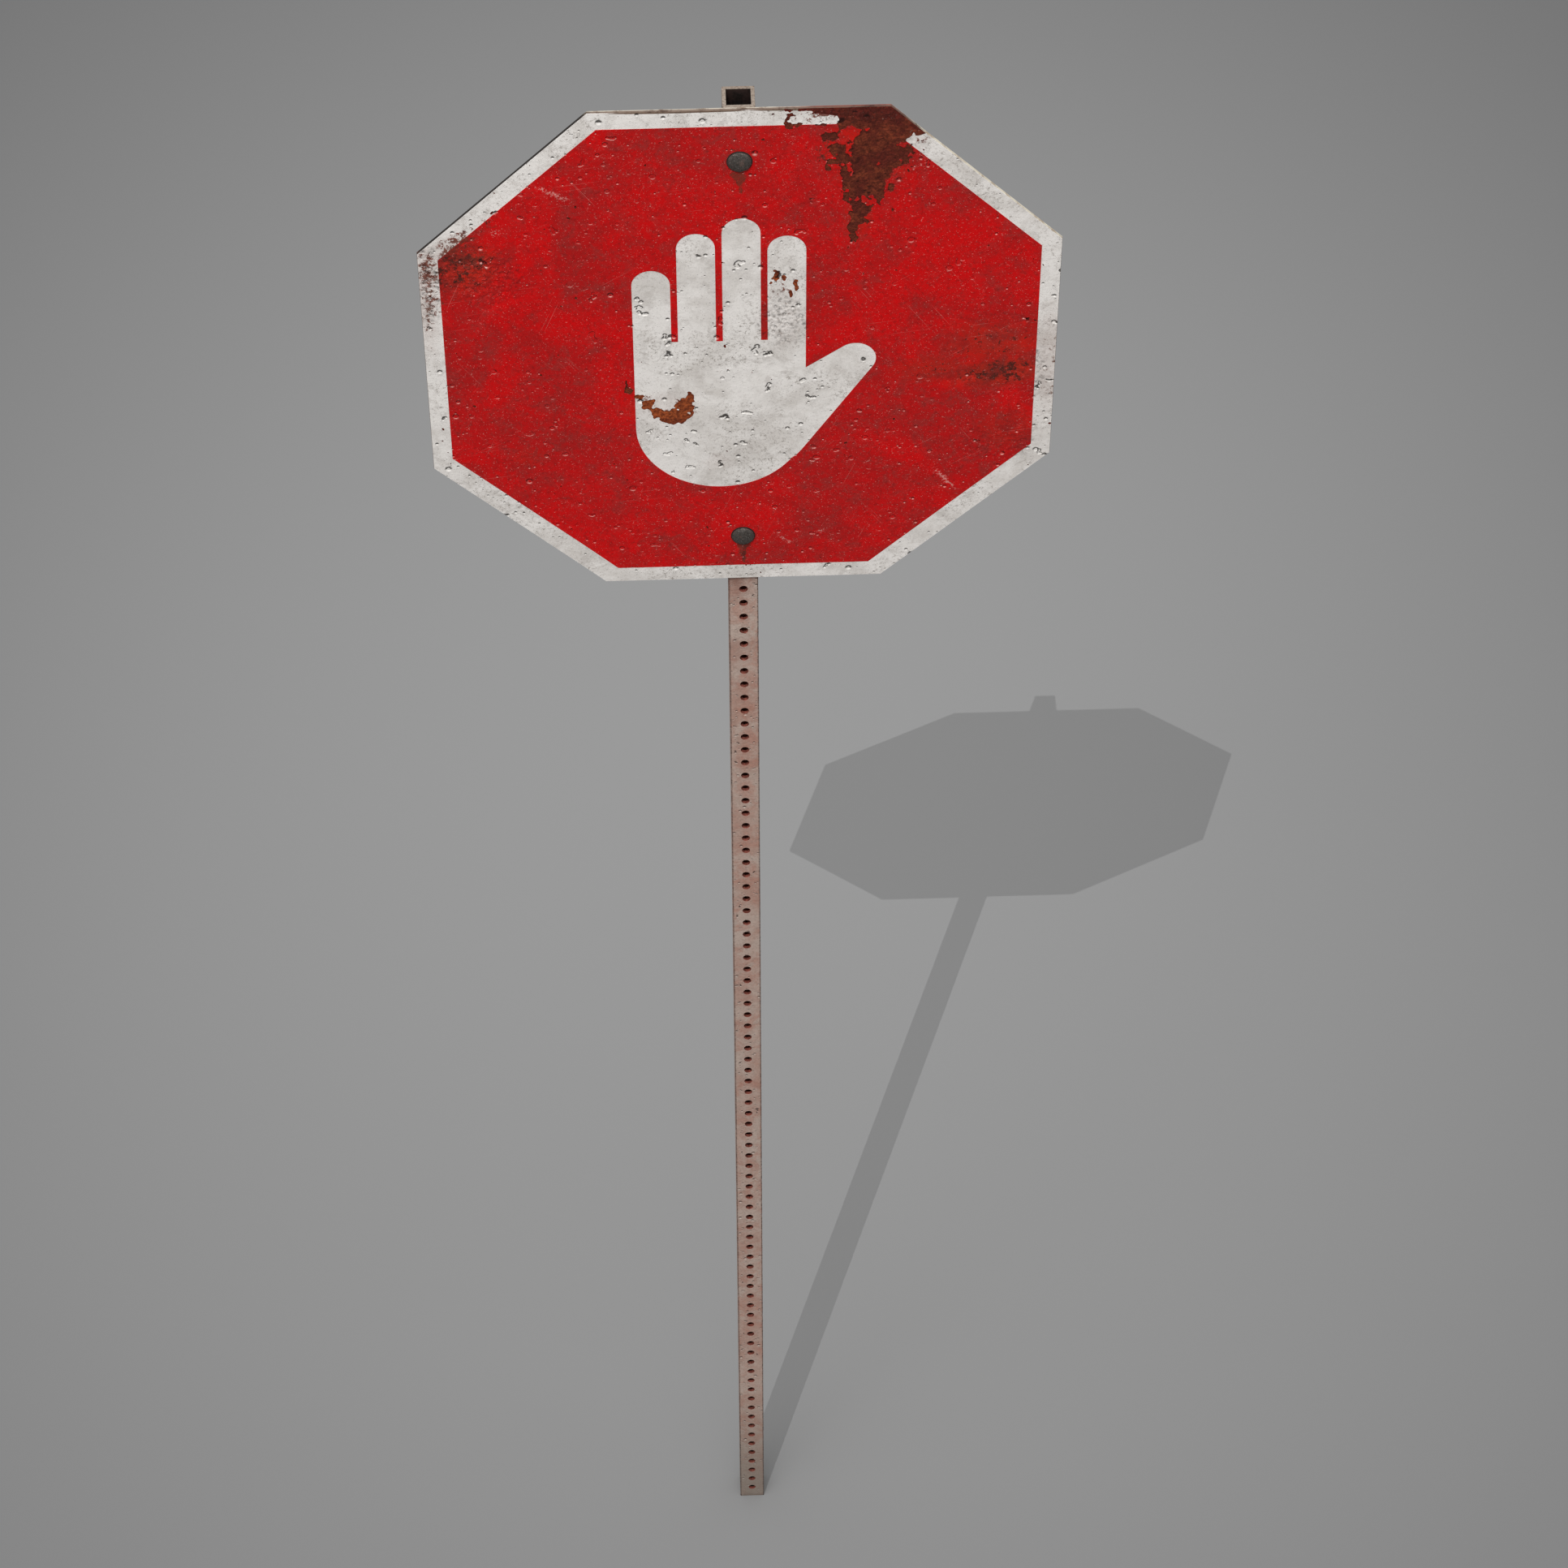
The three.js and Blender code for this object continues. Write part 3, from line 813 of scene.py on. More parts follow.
def bare_outline():
    """Edges of the bare patches as short segments, and the grid of bareness they come from."""
    segments = []
    span = SIGN_HALF + 3 * BARE_GRID
    ticks = np.arange(-span, span + BARE_GRID, BARE_GRID)
    grid = np.array(np.meshgrid(ticks, ticks)).reshape(2, -1).T
    values = bareness(grid).reshape(len(ticks), len(ticks))
    corner = ((0, 0), (1, 0), (1, 1), (0, 1))
    signs = values > 0
    first = signs[:-1, :-1]
    mixed = (first != signs[1:, :-1]) | (first != signs[:-1, 1:]) | (first != signs[1:, 1:])
    for row, column in zip(*np.nonzero(mixed)):
        crossings = []
        for (c0, r0), (c1, r1) in zip(corner, corner[1:] + corner[:1]):
            v0, v1 = values[row + r0, column + c0], values[row + r1, column + c1]
            if (v0 > 0) != (v1 > 0):
                share = min(max(v0 / (v0 - v1), 0.1), 0.9)
                crossings.append((
                    ticks[column + c0] + (c1 - c0) * share * BARE_GRID,
                    ticks[row + r0] + (r1 - r0) * share * BARE_GRID,
                ))
        segments += [tuple(crossings[i:i + 2]) for i in range(0, len(crossings) - 1, 2)]
    return segments, ticks, values


def on_grid(points, ticks, values):
    """Values between the grid's own, by two-way linear steps."""
    scaled = (points - ticks[0]) / (ticks[1] - ticks[0])
    low = np.clip(scaled.astype(int), 0, len(ticks) - 2)
    part = scaled - low
    column, row = low[:, 0], low[:, 1]
    near = values[row, column] * (1 - part[:, 0]) + values[row, column + 1] * part[:, 0]
    far = values[row + 1, column] * (1 - part[:, 0]) + values[row + 1, column + 1] * part[:, 0]
    return near * (1 - part[:, 1]) + far * part[:, 1]


def blister_height(points):
    """How far each point is lifted, and the painted shade in the valleys between the wrinkles."""
    lift = np.zeros(len(points))
    for *ellipse, strength in BLISTERS:
        rise = strength * smooth_step(from_ellipse(points, *ellipse), 1.0, 0.3)
        lift = np.maximum(lift, rise)
    rough = np.zeros(len(points))
    near = lift > 0.01
    rough[near] = 1 - 3.4 * np.abs(fractal(points[near], 7.0, 3, 3.0))
    return lift * rough, 0.7 * np.clip(-rough, 0, 1) * smooth_step(lift, 0.05, 0.35)


# ---------------------------------------------------------------- the sign

def jittered_grid(rng, half_x, half_z, step):
    columns, rows = int(half_x / step), int(half_z / step)
    return [
        ((c + rng.uniform(-0.3, 0.3)) * step, (r + rng.uniform(-0.3, 0.3)) * step)
        for c in range(-columns, columns + 1) for r in range(-rows, rows + 1)
    ]


def blister_points(rng):
    points = []
    for x, z, width, height, _ in BLISTERS:
        points += [(x + a, z + b) for a, b in jittered_grid(rng, width, height, BLISTER_STEP)
                   if math.hypot(a / width, b / height) < 1]
    return points


def thinned(points, gap):
    """The points, without any that lies nearer than gap to an earlier one."""
    cells, kept = {}, []
    for x, z in points:
        column, row = int(x // gap), int(z // gap)
        around = ((column + i, row + j) for i in (-1, 0, 1) for j in (-1, 0, 1))
        close = (p for cell in around for p in cells.get(cell, ()))
        if all(math.hypot(x - p[0], z - p[1]) >= gap for p in close):
            cells.setdefault((column, row), []).append((x, z))
            kept.append((x, z))
    return kept


def border_edges(faces):
    """The edges that only one face uses, in that face's direction."""
    edges = dict.fromkeys(edge for a, b, c in faces for edge in ((a, b), (b, c), (c, a)))
    return [edge for edge in edges if (edge[1], edge[0]) not in edges]


def slab(name, points, front, back, front_y, back_y, materials, painted, bevel=0.0, broken=None):
    """A closed plate. front and back are triangles over the same 2-D points, front_y and back_y
    the two surfaces, and a bevel rounds the edge that lies on the sign's outline. The materials
    are for the front, the edges and the back, but a broken edge has the last one."""
    count = len(points)
    outline = np.max(np.abs(points), axis=1) > SIGN_HALF - 1.0
    outline |= np.abs(points).sum(axis=1) > SIGN_HALF + STRAIGHT_SIDE / 2 - 1.5
    grow = np.where(outline, 1 + bevel / SIGN_HALF, 1.0)
    layers = [
        np.c_[points[:, 0], front_y, points[:, 1]],
        np.c_[points[:, 0] * grow, front_y + bevel, points[:, 1] * grow],
        np.c_[points[:, 0] * grow, back_y - bevel, points[:, 1] * grow],
        np.c_[points[:, 0], back_y, points[:, 1]],
    ]
    faces = [tuple(face) for face in front]
    kinds = [0] * len(faces)
    steps = ((0, 1), (1, 2), (2, 3)) if bevel else ((0, 3),)
    for first, second in border_edges(front):
        split = broken is not None and broken[first] and broken[second]
        for upper, lower in steps:
            faces.append((second + upper * count, first + upper * count,
                          first + lower * count, second + lower * count))
            kinds.append(len(materials) - 1 if split else 1)
    faces += [tuple(i + 3 * count for i in reversed(face)) for face in back]
    kinds += [2] * len(back)
    vertices = np.vstack(layers)
    vertices[:, 0] += SIGN_CENTRE[0]
    vertices[:, 2] += SIGN_CENTRE[2]
    layered = {key: np.r_[values, values, values * 0, values * 0] for key, values in painted.items()}
    return mesh_object(name, vertices, faces, materials, kinds, sharp=40.0, painted=layered)


def matched(points, other, faces):
    """Triangles over other, as triangles over the points at the same places."""
    index = {(round(x, 2), round(z, 2)): i for i, (x, z) in enumerate(points)}
    return np.array([[index[(round(other[i][0], 2), round(other[i][1], 2))] for i in face]
                     for face in faces])


def build_sign():
    rng = np.random.default_rng(7)
    film_low, film_high = millimetres("red_film")
    film_half = (film_high[0] - film_low[0]) / 2
    half_side = STRAIGHT_SIDE / 2
    upper = half_side + BORDER - BORDER * math.sqrt(2)
    lower = half_side + BORDER - LOWER_CORNER_BORDER * math.sqrt(2)
    edge_half = SIGN_HALF - EDGE_BEVEL
    edge_side = half_side * edge_half / SIGN_HALF
    outer = octagon(edge_half, edge_side, edge_side)
    field = octagon(film_half, upper, lower)
    holes = [square(0.0, height, NECK_HOLE) for height in BOLT_HEIGHTS]
    hand_parts = hand()
    segments, ticks, values = bare_outline()
    segments = [s for s in segments if inside(np.array(s), outer).any()]
    loops = [outer, field] + holes + hand_parts

    craters = sign_craters(rng)
    anchors = [p for loop in loops for p in loop] + [p for s in segments for p in s]
    free = clear_of(thinned(crater_points(craters), CRATER_GAP), anchors, OUTLINE_GAP)
    free += clear_of(blister_points(rng), anchors + free, BLISTER_GAP)
    free += clear_of(jittered_grid(rng, SIGN_HALF, SIGN_HALF, FACE_STEP), anchors + free, FACE_GAP)
    around = square(0.0, 0.0, 4 * SIGN_HALF)
    points, faces, areas = triangulate(loops, segments, free + around)
    plain, plain_faces, plain_areas = triangulate(loops, segments, around)
    plain_faces = matched(points, plain, plain_faces)

    depth, painted_shade, chips_and_highlight = crater_field(points, craters)
    lift, valley_shade = blister_height(points)
    bare = on_grid(points, ticks, values)
    lip = smooth_step(bare, -0.3, -0.02) * (bare < 0.02)
    from_bolt = np.min([np.hypot(points[:, 0], points[:, 1] - z) for z in BOLT_HEIGHTS], axis=0)
    wave = 0.6 * fractal(points, 160.0, 2, 4.0) - 0.3 * lip * (0.6 + fractal(points, 4.0, 2, 5.0))
    depth = (depth - lift + wave) * smooth_step(from_bolt, FLAT_ROUND_BOLT, WAVY_FROM_BOLT)
    # Painted shade in the pits' upper halves and the wrinkles' valleys; chips with a painted highlight
    # on the pits' lower rims.
    painted = {"painted_shade": np.maximum(painted_shade, valley_shade), "chips_and_highlight": chips_and_highlight * (bare < 0)}
    on_edge = ~inside(points, octagon(edge_half - 2, edge_side - 1, edge_side - 1))
    depth = np.where(on_edge, np.clip(depth, -0.1, 0.3), depth)

    def parts(triangles, areas):
        """The triangles of the plate, the white sheeting and the red film."""
        middle = points[triangles].mean(axis=1)

        def where(flags):
            return mostly(flags, points, triangles, areas)

        in_hole = inside(middle, holes[0]) | inside(middle, holes[1])
        plate = where(inside(middle, outer)) & ~where(in_hole)
        sheet = plate & ~where(on_grid(middle, ticks, values) > 0)
        cut_out = where(np.any([inside(middle, part) for part in hand_parts], axis=0))
        film = sheet & ~cut_out & where(inside(middle, field))
        return (triangles[plate], without_crumbs(points, triangles[sheet]),
                without_crumbs(points, triangles[film]))

    fronts = parts(faces, areas)
    backs = parts(plain_faces, plain_areas)
    front_of = {node: millimetres(node)[0][1] for node in ("sign_blank", "white_sheeting", "red_film")}
    rust = 0.35 * fractal(points, 6.0, 4, 6.0) * smooth_step(bare, -0.1, 0.3)
    plate_front = front_of["sign_blank"] + np.clip(depth * 0.8 + rust, -0.3, 2.0)
    sheet_front = front_of["white_sheeting"] + depth
    film_front = front_of["red_film"] + depth
    back_wave = blank_high[1] - 0.25 * (1 + np.clip(fractal(points, 120.0, 3, 8.0), -1, 1))
    back_wave = np.where(np.abs(points[:, 0]) < 40, blank_high[1], back_wave)
    broken = np.abs(bare) < BROKEN_EDGE

    white, red, lip_colour = white_sheeting_finish(), red_film_finish(), lip_finish()
    plate = slab("sign_plate", points, fronts[0], backs[0], plate_front, back_wave,
                 [rusted_plate_finish(), plate_edge_finish(), plate_back_finish()], painted,
                 bevel=EDGE_BEVEL)
    sheet = slab("white_face_sheeting", points, fronts[1], backs[1], sheet_front,
                 plate_front - SKIN_GAP, [white, white, white, lip_colour], painted, broken=broken)
    film = slab("red_face_film", points, fronts[2], backs[2], film_front,
                sheet_front - SKIN_GAP, [red, red, red, lip_colour], painted, broken=broken)
    stand_for(plate, "sign_blank")
    stand_for(sheet, "white_sheeting")
    stand_for(film, "red_film")


# ---------------------------------------------------------------- the post

def post_craters(rng, half, length, count):
    craters = []
    for _ in range(count):
        radius = min(0.7 + rng.exponential(0.35), 2.2)
        x = rng.uniform(-half + 2.5, half - 2.5)
        z = rng.uniform(4, length - 4)
        craters.append((x, z, radius, radius * 0.25))
    for _ in range(count // 8):
        x = rng.choice((-1, 1)) * rng.uniform(9, half - 5)
        z = rng.uniform(8, length - 8)
        craters += gouge(rng, x, z, rng.uniform(0.8, 1.3), rng.choice((0.0, math.pi)), 4)
    return craters


def hole_ring(height, radius):
    return arc(0, height, radius, radius, 0, 2 * math.pi, HOLE_SIDES + 1)[:-1]


def wall_panel(half, low, high, holes, hole_radius, step, free=()):
    """One flat side of the tube with round holes at some heights, as 2-D points and triangles."""
    corners = [(-half, low), (half, low), (half, high), (-half, high)]
    loops = [along_loop(corners, step)] + [hole_ring(height, hole_radius) for height in holes]
    anchors = [p for loop in loops for p in loop]
    free = [(x, z) for x, z in free if abs(x) < half - 0.3 and low + 0.3 < z < high - 0.3]
    free = clear_of(free, anchors, 0.6) if free else []
    points, faces, areas = triangulate(loops, [], free)
    middle = points[faces].mean(axis=1)
    in_hole = np.zeros(len(middle), bool)
    for height in holes:
        in_hole |= np.hypot(middle[:, 0], middle[:, 1] - height) < hole_radius
    return points, faces[~mostly(in_hole, points, faces, areas)]


def build_post():
    low, high = millimetres("post")
    half, length = (high[0] - low[0]) / 2, high[2] - low[2]
    corner, rim, chamfer = CORNER_RADIUS, RIM_WIDTH, HOLE_CHAMFER
    inner = half - POST_WALL
    edge_step, bore_step = (2 * width / (RIM_PARTS - 0.5) for width in (half - corner, inner))
    front_holes = [hole * HOLE_PITCH for hole in range(1, round(length / HOLE_PITCH))]
    back_holes = [SIGN_CENTRE[2] + height for height in BOLT_HEIGHTS]
    vertices, faces, kinds, shade_and_highlight_values = [], [], [], []

    def add(new_vertices, new_faces, kind, values=None):
        start = sum(len(v) for v in vertices)
        vertices.append(np.array(new_vertices))
        faces.extend(tuple(start + i for i in face) for face in new_faces)
        kinds.extend([kind] * len(new_faces))
        shade_and_highlight_values.append(np.zeros((2, len(new_vertices))) if values is None else np.array(values))

    def strips(rows, kind, closed=True):
        add(np.vstack(rows), row_quads(len(rows), len(rows[0]), closed), kind)

    for side in range(4):
        rng = np.random.default_rng(20 + side)
        turn = side * math.pi / 2
        across = np.array([math.cos(turn), math.sin(turn), 0.0])
        out = np.array([math.sin(turn), -math.cos(turn), 0.0])

        def placed(points, depth, across=across, out=out):
            depth = np.broadcast_to(np.asarray(depth, float), (len(points),))
            flat = points[:, :1] * across + (half - depth)[:, None] * out
            return flat + np.c_[np.zeros((len(points), 2)), points[:, 1]]

        holes = {0: front_holes, 2: back_holes}.get(side, [])
        craters = post_craters(rng, half, length, OTHER_WALL_CRATERS if side else FRONT_WALL_CRATERS)
        free = thinned(crater_points(craters), POST_CRATER_GAP)
        grid = jittered_grid(rng, half - 4, length / 2 - 6, POST_STEP)
        free += clear_of([(x, z + length / 2) for x, z in grid], free, POST_GAP)
        outer_points, outer_faces = wall_panel(
            half - corner, rim, length - rim, holes, HOLE_RADIUS + chamfer, edge_step, free)
        from_edge = half - corner - np.abs(outer_points[:, 0])
        for height in holes:
            from_hole = np.hypot(outer_points[:, 0], outer_points[:, 1] - height)
            from_edge = np.minimum(from_edge, from_hole - HOLE_RADIUS - chamfer)
        fade = smooth_step(from_edge, 0.0, 0.6)
        # The pits' painted shade and their chips with a painted highlight, faded out near the edges
        # and holes.
        depth, pit_shade, wear_and_highlight = crater_field(outer_points, craters)
        add(placed(outer_points, depth * fade), outer_faces, 0, (pit_shade * fade, wear_and_highlight * fade))
        inner_points, inner_faces = wall_panel(
            inner, rim, length - rim, holes, HOLE_RADIUS, bore_step)
        add(placed(inner_points, POST_WALL), inner_faces[:, ::-1], 2)
        for height in holes:
            steps = ((chamfer, 0), (chamfer * 0.3, chamfer * 0.3), (0, chamfer), (0, POST_WALL))
            rings = [placed(np.array(hole_ring(height, HOLE_RADIUS + more)), deep)
                     for more, deep in steps]
            strips([rings[1], rings[0]], 0)
            strips(rings[:0:-1], 1)
        heights = [z for _, z in along_loop([(0, rim), (0, length - rim)], edge_step)]
        heights = heights[:len(heights) // 2 + 1]
        rows = []
        for share in (0.0, 1 / 3, 2 / 3, 1.0):
            angle = share * math.pi / 2
            radial = (half - corner) * (across + out)
            offset = corner * (math.sin(angle) * across + math.cos(angle) * out)
            rows.append([(*(radial + offset)[:2], z) for z in heights])
        strips(rows[::-1], 0, closed=False)

    def square_loop(size, cut, z):
        """A square loop with cut corners, its points in step with the panels' end points."""
        points = []
        for side in range(4):
            turn = side * math.pi / 2
            across = np.array([math.cos(turn), math.sin(turn)])
            out = np.array([math.sin(turn), -math.cos(turn)])
            for share in np.linspace(-1, 1, RIM_PARTS + 1):
                points.append(across * share * (size - cut) + out * size)
            for share in (1 / 3, 2 / 3):
                angle = share * math.pi / 2
                points.append((size - cut) * (across + out)
                              + cut * (math.sin(angle) * across + math.cos(angle) * out))
        return np.c_[np.array(points), np.full(len(points), z)]

    for end, inward in ((length, -1), (0.0, 1)):
        rows = [
            square_loop(half, corner, end + inward * rim),
            square_loop(half - rim * 0.3, corner, end + inward * rim * 0.3),
            square_loop(half - rim, corner, end),
            square_loop(inner + rim * 0.6, 0.02, end),
            square_loop(inner, 0.0, end + inward * rim),
        ]
        strips(rows if inward < 0 else rows[::-1], 0)

    merged, first, merged_faces, merged_kinds = weld(np.vstack(vertices), faces, kinds, 0.02)
    outside = np.max(np.abs(merged[:, :2]), axis=1) > half - 0.25
    wear = np.zeros(len(merged))
    wear[outside] = 0.12 * np.clip(0.5 + fractal(merged[outside], 7.0, 4, 9.0), 0, 1.5)
    corner_share = smooth_step(np.min(np.abs(merged[:, :2]), axis=1), half - 2.0, half - 0.5)
    rng = np.random.default_rng(40)
    for z in rng.uniform(10, length - 10, 90):
        which = rng.integers(0, 4)
        here = (np.sign(merged[:, 0]) == (1, 1, -1, -1)[which]) \
            & (np.sign(merged[:, 1]) == (1, -1, 1, -1)[which])
        nick = np.exp(-((merged[:, 2] - z) / rng.uniform(2, 4)) ** 2) * rng.uniform(0.4, 1.1)
        wear = np.maximum(wear, nick * corner_share * here)
    towards = np.where(np.abs(merged[:, :2]) > half - 1.2, np.sign(merged[:, :2]), 0)
    merged[:, :2] -= towards * wear[:, None]
    # Painted shade, and chips with a painted highlight, for the post's material.
    painted_shade, chips_and_highlight = np.hstack(shade_and_highlight_values)[:, first]
    materials = [post_finish(), hole_wall_finish(), bore_finish()]
    post = mesh_object("post_tube", merged, merged_faces, materials, merged_kinds, sharp=38.0,
                       painted={"painted_shade": painted_shade, "chips_and_highlight": chips_and_highlight})
    stand_for(post, "post")


def weld(vertices, faces, kinds, gap):
    """Joins vertices that lie closer than gap, and drops the faces that this closes up. Also
    gives the place of each kept vertex in the old list. The 0.3 keeps the tube's own sizes off
    the limits between two cells."""
    keys = np.round(vertices / gap + 0.3).astype(np.int64)
    _, first, index = np.unique(keys, axis=0, return_index=True, return_inverse=True)
    index = index.reshape(-1)
    new_faces, new_kinds = [], []
    for face, kind in zip(faces, kinds):
        corners = list(dict.fromkeys(int(index[i]) for i in face))
        if len(corners) > 2:
            new_faces.append(tuple(corners))
            new_kinds.append(kind)
    return vertices[first], first, new_faces, new_kinds


# ---------------------------------------------------------------- fasteners

def turned(rows, closed=False):
    """Quads between rings of points round the Y axis, given as (y, radii) rows. The two ends
    are closed by caps, or joined to each other where closed is true."""
    count, segments = len(rows), len(rows[0][1])
    angles = np.arange(segments) / segments * 2 * math.pi
    vertices = [(r * math.cos(a), y, r * math.sin(a)) for y, radii in rows
                for r, a in zip(radii, angles)]
    quads = row_quads(count, segments, ends_joined=closed)
    faces = [(a, d, c, b) for a, b, c, d in quads]
    if not closed:
        faces.append(tuple(range(segments)))
        faces.append(tuple((count - 1) * segments + i for i in reversed(range(segments))))
    return np.array(vertices), faces


def roughened(vertices, centre, amount, size, seed):
    """Each vertex moved along the line from the centre by a little noise, never outwards."""
    shift = amount * np.clip(0.5 + 0.5 * fractal(vertices, size, 4, seed), 0, 1)
    away = vertices - centre
    length = np.linalg.norm(away, axis=1, keepdims=True)
    return vertices - away / np.maximum(length, 0.001) * shift[:, None]


def round_sizes(node):
    """Outer radius, thickness and the middle of the front of a round node, from its box."""
    low, high = millimetres(node)
    seat = ((low[0] + high[0]) / 2, low[1], (low[2] + high[2]) / 2)
    return (high[0] - low[0]) / 2, high[1] - low[1], seat


def fastener_piece(name, node, vertices, faces, material, at, sharp=35.0):
    piece = mesh_object(name, vertices + np.array(at), faces, [material], sharp=sharp)
    stand_for(piece, node)


def ring_rows(outer, inner, thickness, edge, segments):
    """The section of a flat washer with broken edges, from y = 0 on."""
    section = [
        (0.0, inner + edge), (0.0, outer - edge), (edge * 0.3, outer - edge * 0.3), (edge, outer),
        (thickness - edge, outer), (thickness - edge * 0.3, outer - edge * 0.3),
        (thickness, outer - edge), (thickness, inner + edge), (thickness - edge, inner),
        (edge, inner),
    ]
    return [(y, np.full(segments, r)) for y, r in section]


def dome_bolt(side, material, seed):
    head_radius, _, (centre_x, front, centre_z) = round_sizes(f"{side}_bolt")
    washer_back = millimetres(f"{side}_face_washer")[0][1]
    head_height = washer_back - front
    shank_end = millimetres(f"{side}_bolt")[1][1] - washer_back
    shank_radius = 3 / 16 * INCH
    neck_half, neck_end, segments = 4.9, 5.2, 48
    angles = np.arange(segments) / segments * 2 * math.pi
    rows = []
    for share in np.linspace(0.02, 1.0, 14):
        angle = (1 - share) * math.pi / 2
        y = -1.0 - (head_height - 1.0) * math.sin(angle)
        rows.append((y, np.full(segments, head_radius * math.cos(angle))))
    rows += [(-0.35, np.full(segments, head_radius)), (0.0, np.full(segments, head_radius - 0.35))]
    square_radius = neck_half / np.maximum(np.abs(np.cos(angles)), np.abs(np.sin(angles)))
    neck = np.minimum(square_radius, neck_half * 1.32)
    rows += [(0.0, neck), (neck_end - 0.6, neck), (neck_end, np.full(segments, shank_radius))]
    thread_start = shank_end - 30.0
    ys = np.arange(thread_start, shank_end - 0.8, THREAD_PITCH / 6)
    rows.append((thread_start - 1.0, np.full(segments, shank_radius)))
    for y in ys:
        phase = (y / THREAD_PITCH - angles / (2 * math.pi)) % 1.0
        rows.append((y, shank_radius - 0.9 * np.abs(2 * phase - 1)))
    rows.append((shank_end, np.full(segments, shank_radius - 1.3)))
    vertices, faces = turned(rows)
    head = vertices[:, 1] < -0.1
    vertices[head] = roughened(vertices[head], np.array([0.0, 8.0, 0.0]), 0.3, 3.5, seed)
    fastener_piece(f"{side}_dome_bolt", f"{side}_bolt", vertices, faces, material,
                   (centre_x, washer_back, centre_z))


def plain_washer(side, kind, name, inner, edge, material, seed):
    outer, thickness, at = round_sizes(f"{side}_{kind}")
    vertices, faces = turned(ring_rows(outer, inner, thickness, edge, 56), closed=True)
    vertices = roughened(vertices, np.array([0.0, thickness / 2, 0.0]), 0.08, 3.0, seed)
    fastener_piece(f"{side}_{name}", f"{side}_{kind}", vertices, faces, material, at)


def spring_washer(side, material):
    """A split ring with square wire, its two ends a little apart at the top."""
    outer, thickness, (centre_x, front, _) = round_sizes(f"{side}_lock_washer")
    inner, gap, edge, steps = 5.1, 0.22, 0.3, 60
    section = [
        (0.0, inner + edge), (0.0, outer - edge), (edge, outer), (thickness - edge, outer),
        (thickness, outer - edge), (thickness, inner + edge), (thickness - edge, inner),
        (edge, inner),
    ]
    size = len(section)
    vertices = []
    for step in range(steps + 1):
        angle = math.pi / 2 + gap / 2 + step / steps * (2 * math.pi - gap)
        vertices += [(r * math.cos(angle), y, r * math.sin(angle)) for y, r in section]
    faces = row_quads(steps + 1, size)
    faces.append(tuple(reversed(range(size))))
    faces.append(tuple(steps * size + i for i in range(size)))
    at = (centre_x, front, round_sizes(f"{side}_back_washer")[2][2])
    fastener_piece(f"{side}_spring_washer", f"{side}_lock_washer",
                   np.array(vertices), faces, material, at)


def hex_nut(side, material):
    """A hexagon whose corners are turned down by a cone at both faces, with a plain bore chamfered at
    both ends.
    """
    flat, thickness, at = round_sizes(f"{side}_nut")
    bore, segments = 5.1, 96
    corner = flat / math.cos(math.pi / 6)
    angles = np.arange(segments) / segments * 2 * math.pi
    turn = np.mod(angles, math.pi / 3) - math.pi / 6
    hexagon = flat / np.cos(turn)
    rows = [(y, np.minimum(hexagon, corner - 1.3 + y * 1.2))
            for y in (0.0, 0.25, 0.5, 0.75, 1.0, 1.3)]
    rows += [(thickness - y, radii) for y, radii in reversed(rows)]
    bore_ends = ((thickness, bore + 0.5), (thickness - 0.5, bore), (0.5, bore), (0.0, bore + 0.5))
    rows += [(y, np.full(segments, radius)) for y, radius in bore_ends]
    vertices, faces = turned(rows, closed=True)
    fastener_piece(f"{side}_hex_nut", f"{side}_nut", vertices, faces, material,
                   at, sharp=28.0)


def build_fasteners():
    bolt_steel, zinc, nylon = bolt_finish(), zinc_finish(), nylon_finish()
    for index, side in enumerate(("upper", "lower")):
        dome_bolt(side, bolt_steel, 11.0 + index)
        plain_washer(side, "face_washer", "nylon_washer", 7.5, 0.25, nylon, 13.0 + index)
        plain_washer(side, "back_washer", "flat_washer", 5.5, 0.3, zinc, 15.0 + index)
        spring_washer(side, zinc)
        hex_nut(side, zinc)


# ---------------------------------------------------------------- floor, light and camera

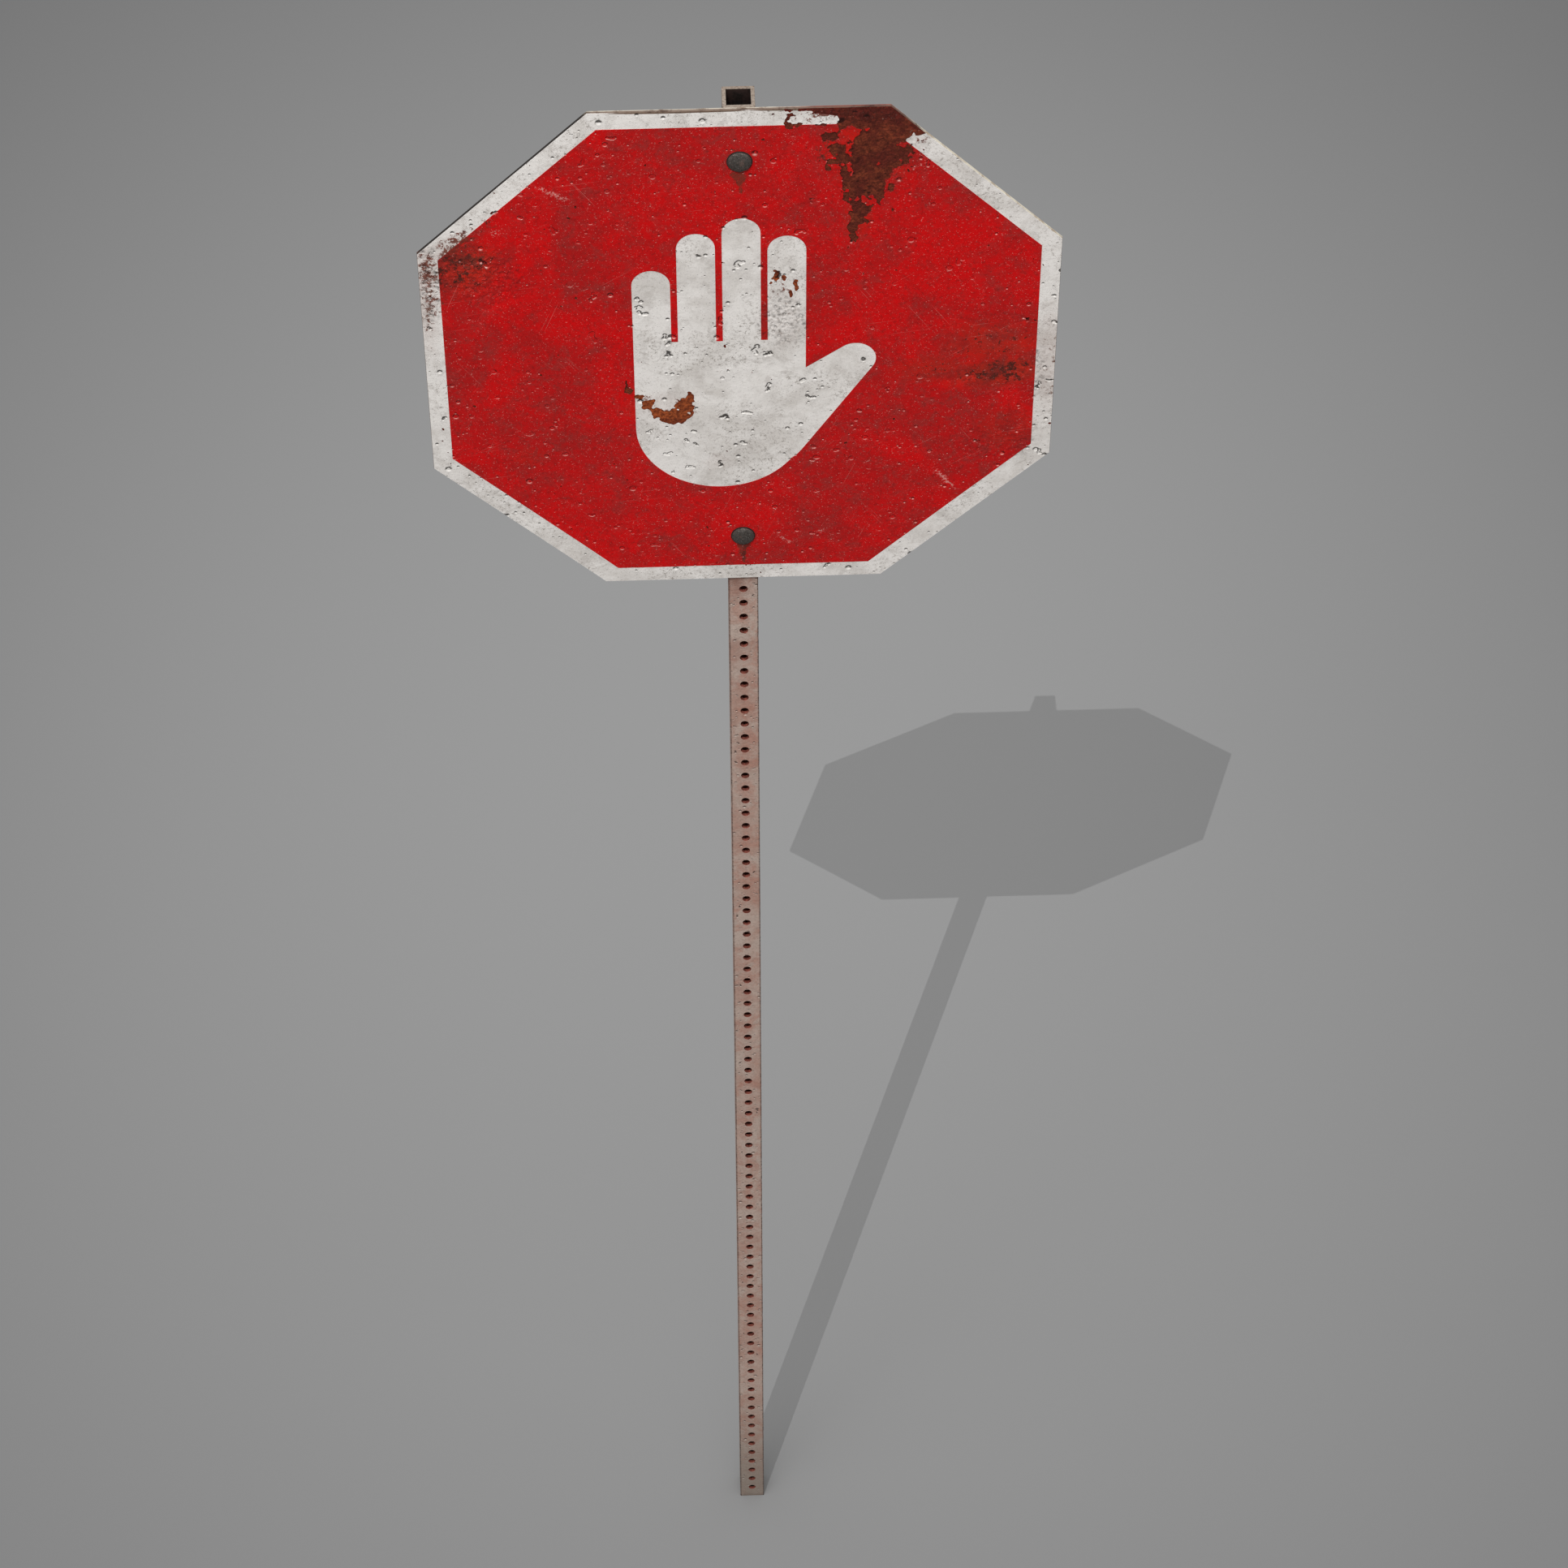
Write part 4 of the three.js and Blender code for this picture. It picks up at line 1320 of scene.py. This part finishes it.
def build_floor():
    """A grey floor with a painted pool of light, lightest round the middle of the picture."""
    size = 60.0
    mesh = bpy.data.meshes.new("floor")
    mesh.from_pydata([(-size, -size, 0), (size, -size, 0), (size, size, 0), (-size, size, 0)],
                     [], [(0, 1, 2, 3)])
    floor = bpy.data.objects.new("floor", mesh)
    bpy.context.scene.collection.objects.link(floor)
    f = Finish("studio_floor", specular=0.05)
    # Painted pool of light: the floor's colour darkens away from the middle.
    far = f.length(f.moved((0.11, 1.85, 0.0), scale=(1 / 1.48, 1 / 2.02, 0.0)))
    f.colour = f.mix(f.band(far, 0.0, 2.15), (0.3, 0.3, 0.3, 1.0), (0.15, 0.15, 0.15, 1.0))
    mesh.materials.append(f.done(0.9))


def add_light(name, kind, energy, location, aim, **settings):
    light = bpy.data.lights.new(name, kind)
    light.energy = energy
    for key, value in settings.items():
        setattr(light, key, value)
    holder = bpy.data.objects.new(name, light)
    holder.location = location
    direction = Vector(aim) - Vector(location)
    holder.rotation_euler = direction.to_track_quat("-Z", "Y").to_euler()
    bpy.context.scene.collection.objects.link(holder)


def build_lights():
    world = bpy.data.worlds.new("studio")
    world.use_nodes = True
    background = world.node_tree.nodes["Background"]
    background.inputs["Color"].default_value = (1.0, 1.0, 1.0, 1.0)
    background.inputs["Strength"].default_value = 0.62
    bpy.context.scene.world = world
    add_light("sun", "SUN", 0.91, -SUN_TRAVEL * 5, (0, 0, 0), angle=math.radians(0.05))
    add_light("softbox", "AREA", 220.0, (-0.8, -2.2, 7.5), (0.0, 0.6, 0.5), size=3.5)


def build_camera():
    data = bpy.data.cameras.new("camera")
    data.sensor_width = 36.0
    data.angle = VIEW_ANGLE
    camera = bpy.data.objects.new("camera", data)
    back = Vector((
        math.sin(VIEW_AZIMUTH) * math.cos(VIEW_ELEVATION),
        -math.cos(VIEW_AZIMUTH) * math.cos(VIEW_ELEVATION),
        math.sin(VIEW_ELEVATION),
    ))
    camera.location = VIEW_TARGET + back * VIEW_DISTANCE
    camera.rotation_euler = (-back).to_track_quat("-Z", "Y").to_euler()
    bpy.context.scene.collection.objects.link(camera)
    bpy.context.scene.camera = camera


build_camera()
build_lights()
build_floor()
build_post()
build_sign()
build_fasteners()
bpy.context.scene.view_settings.view_transform = "Standard"
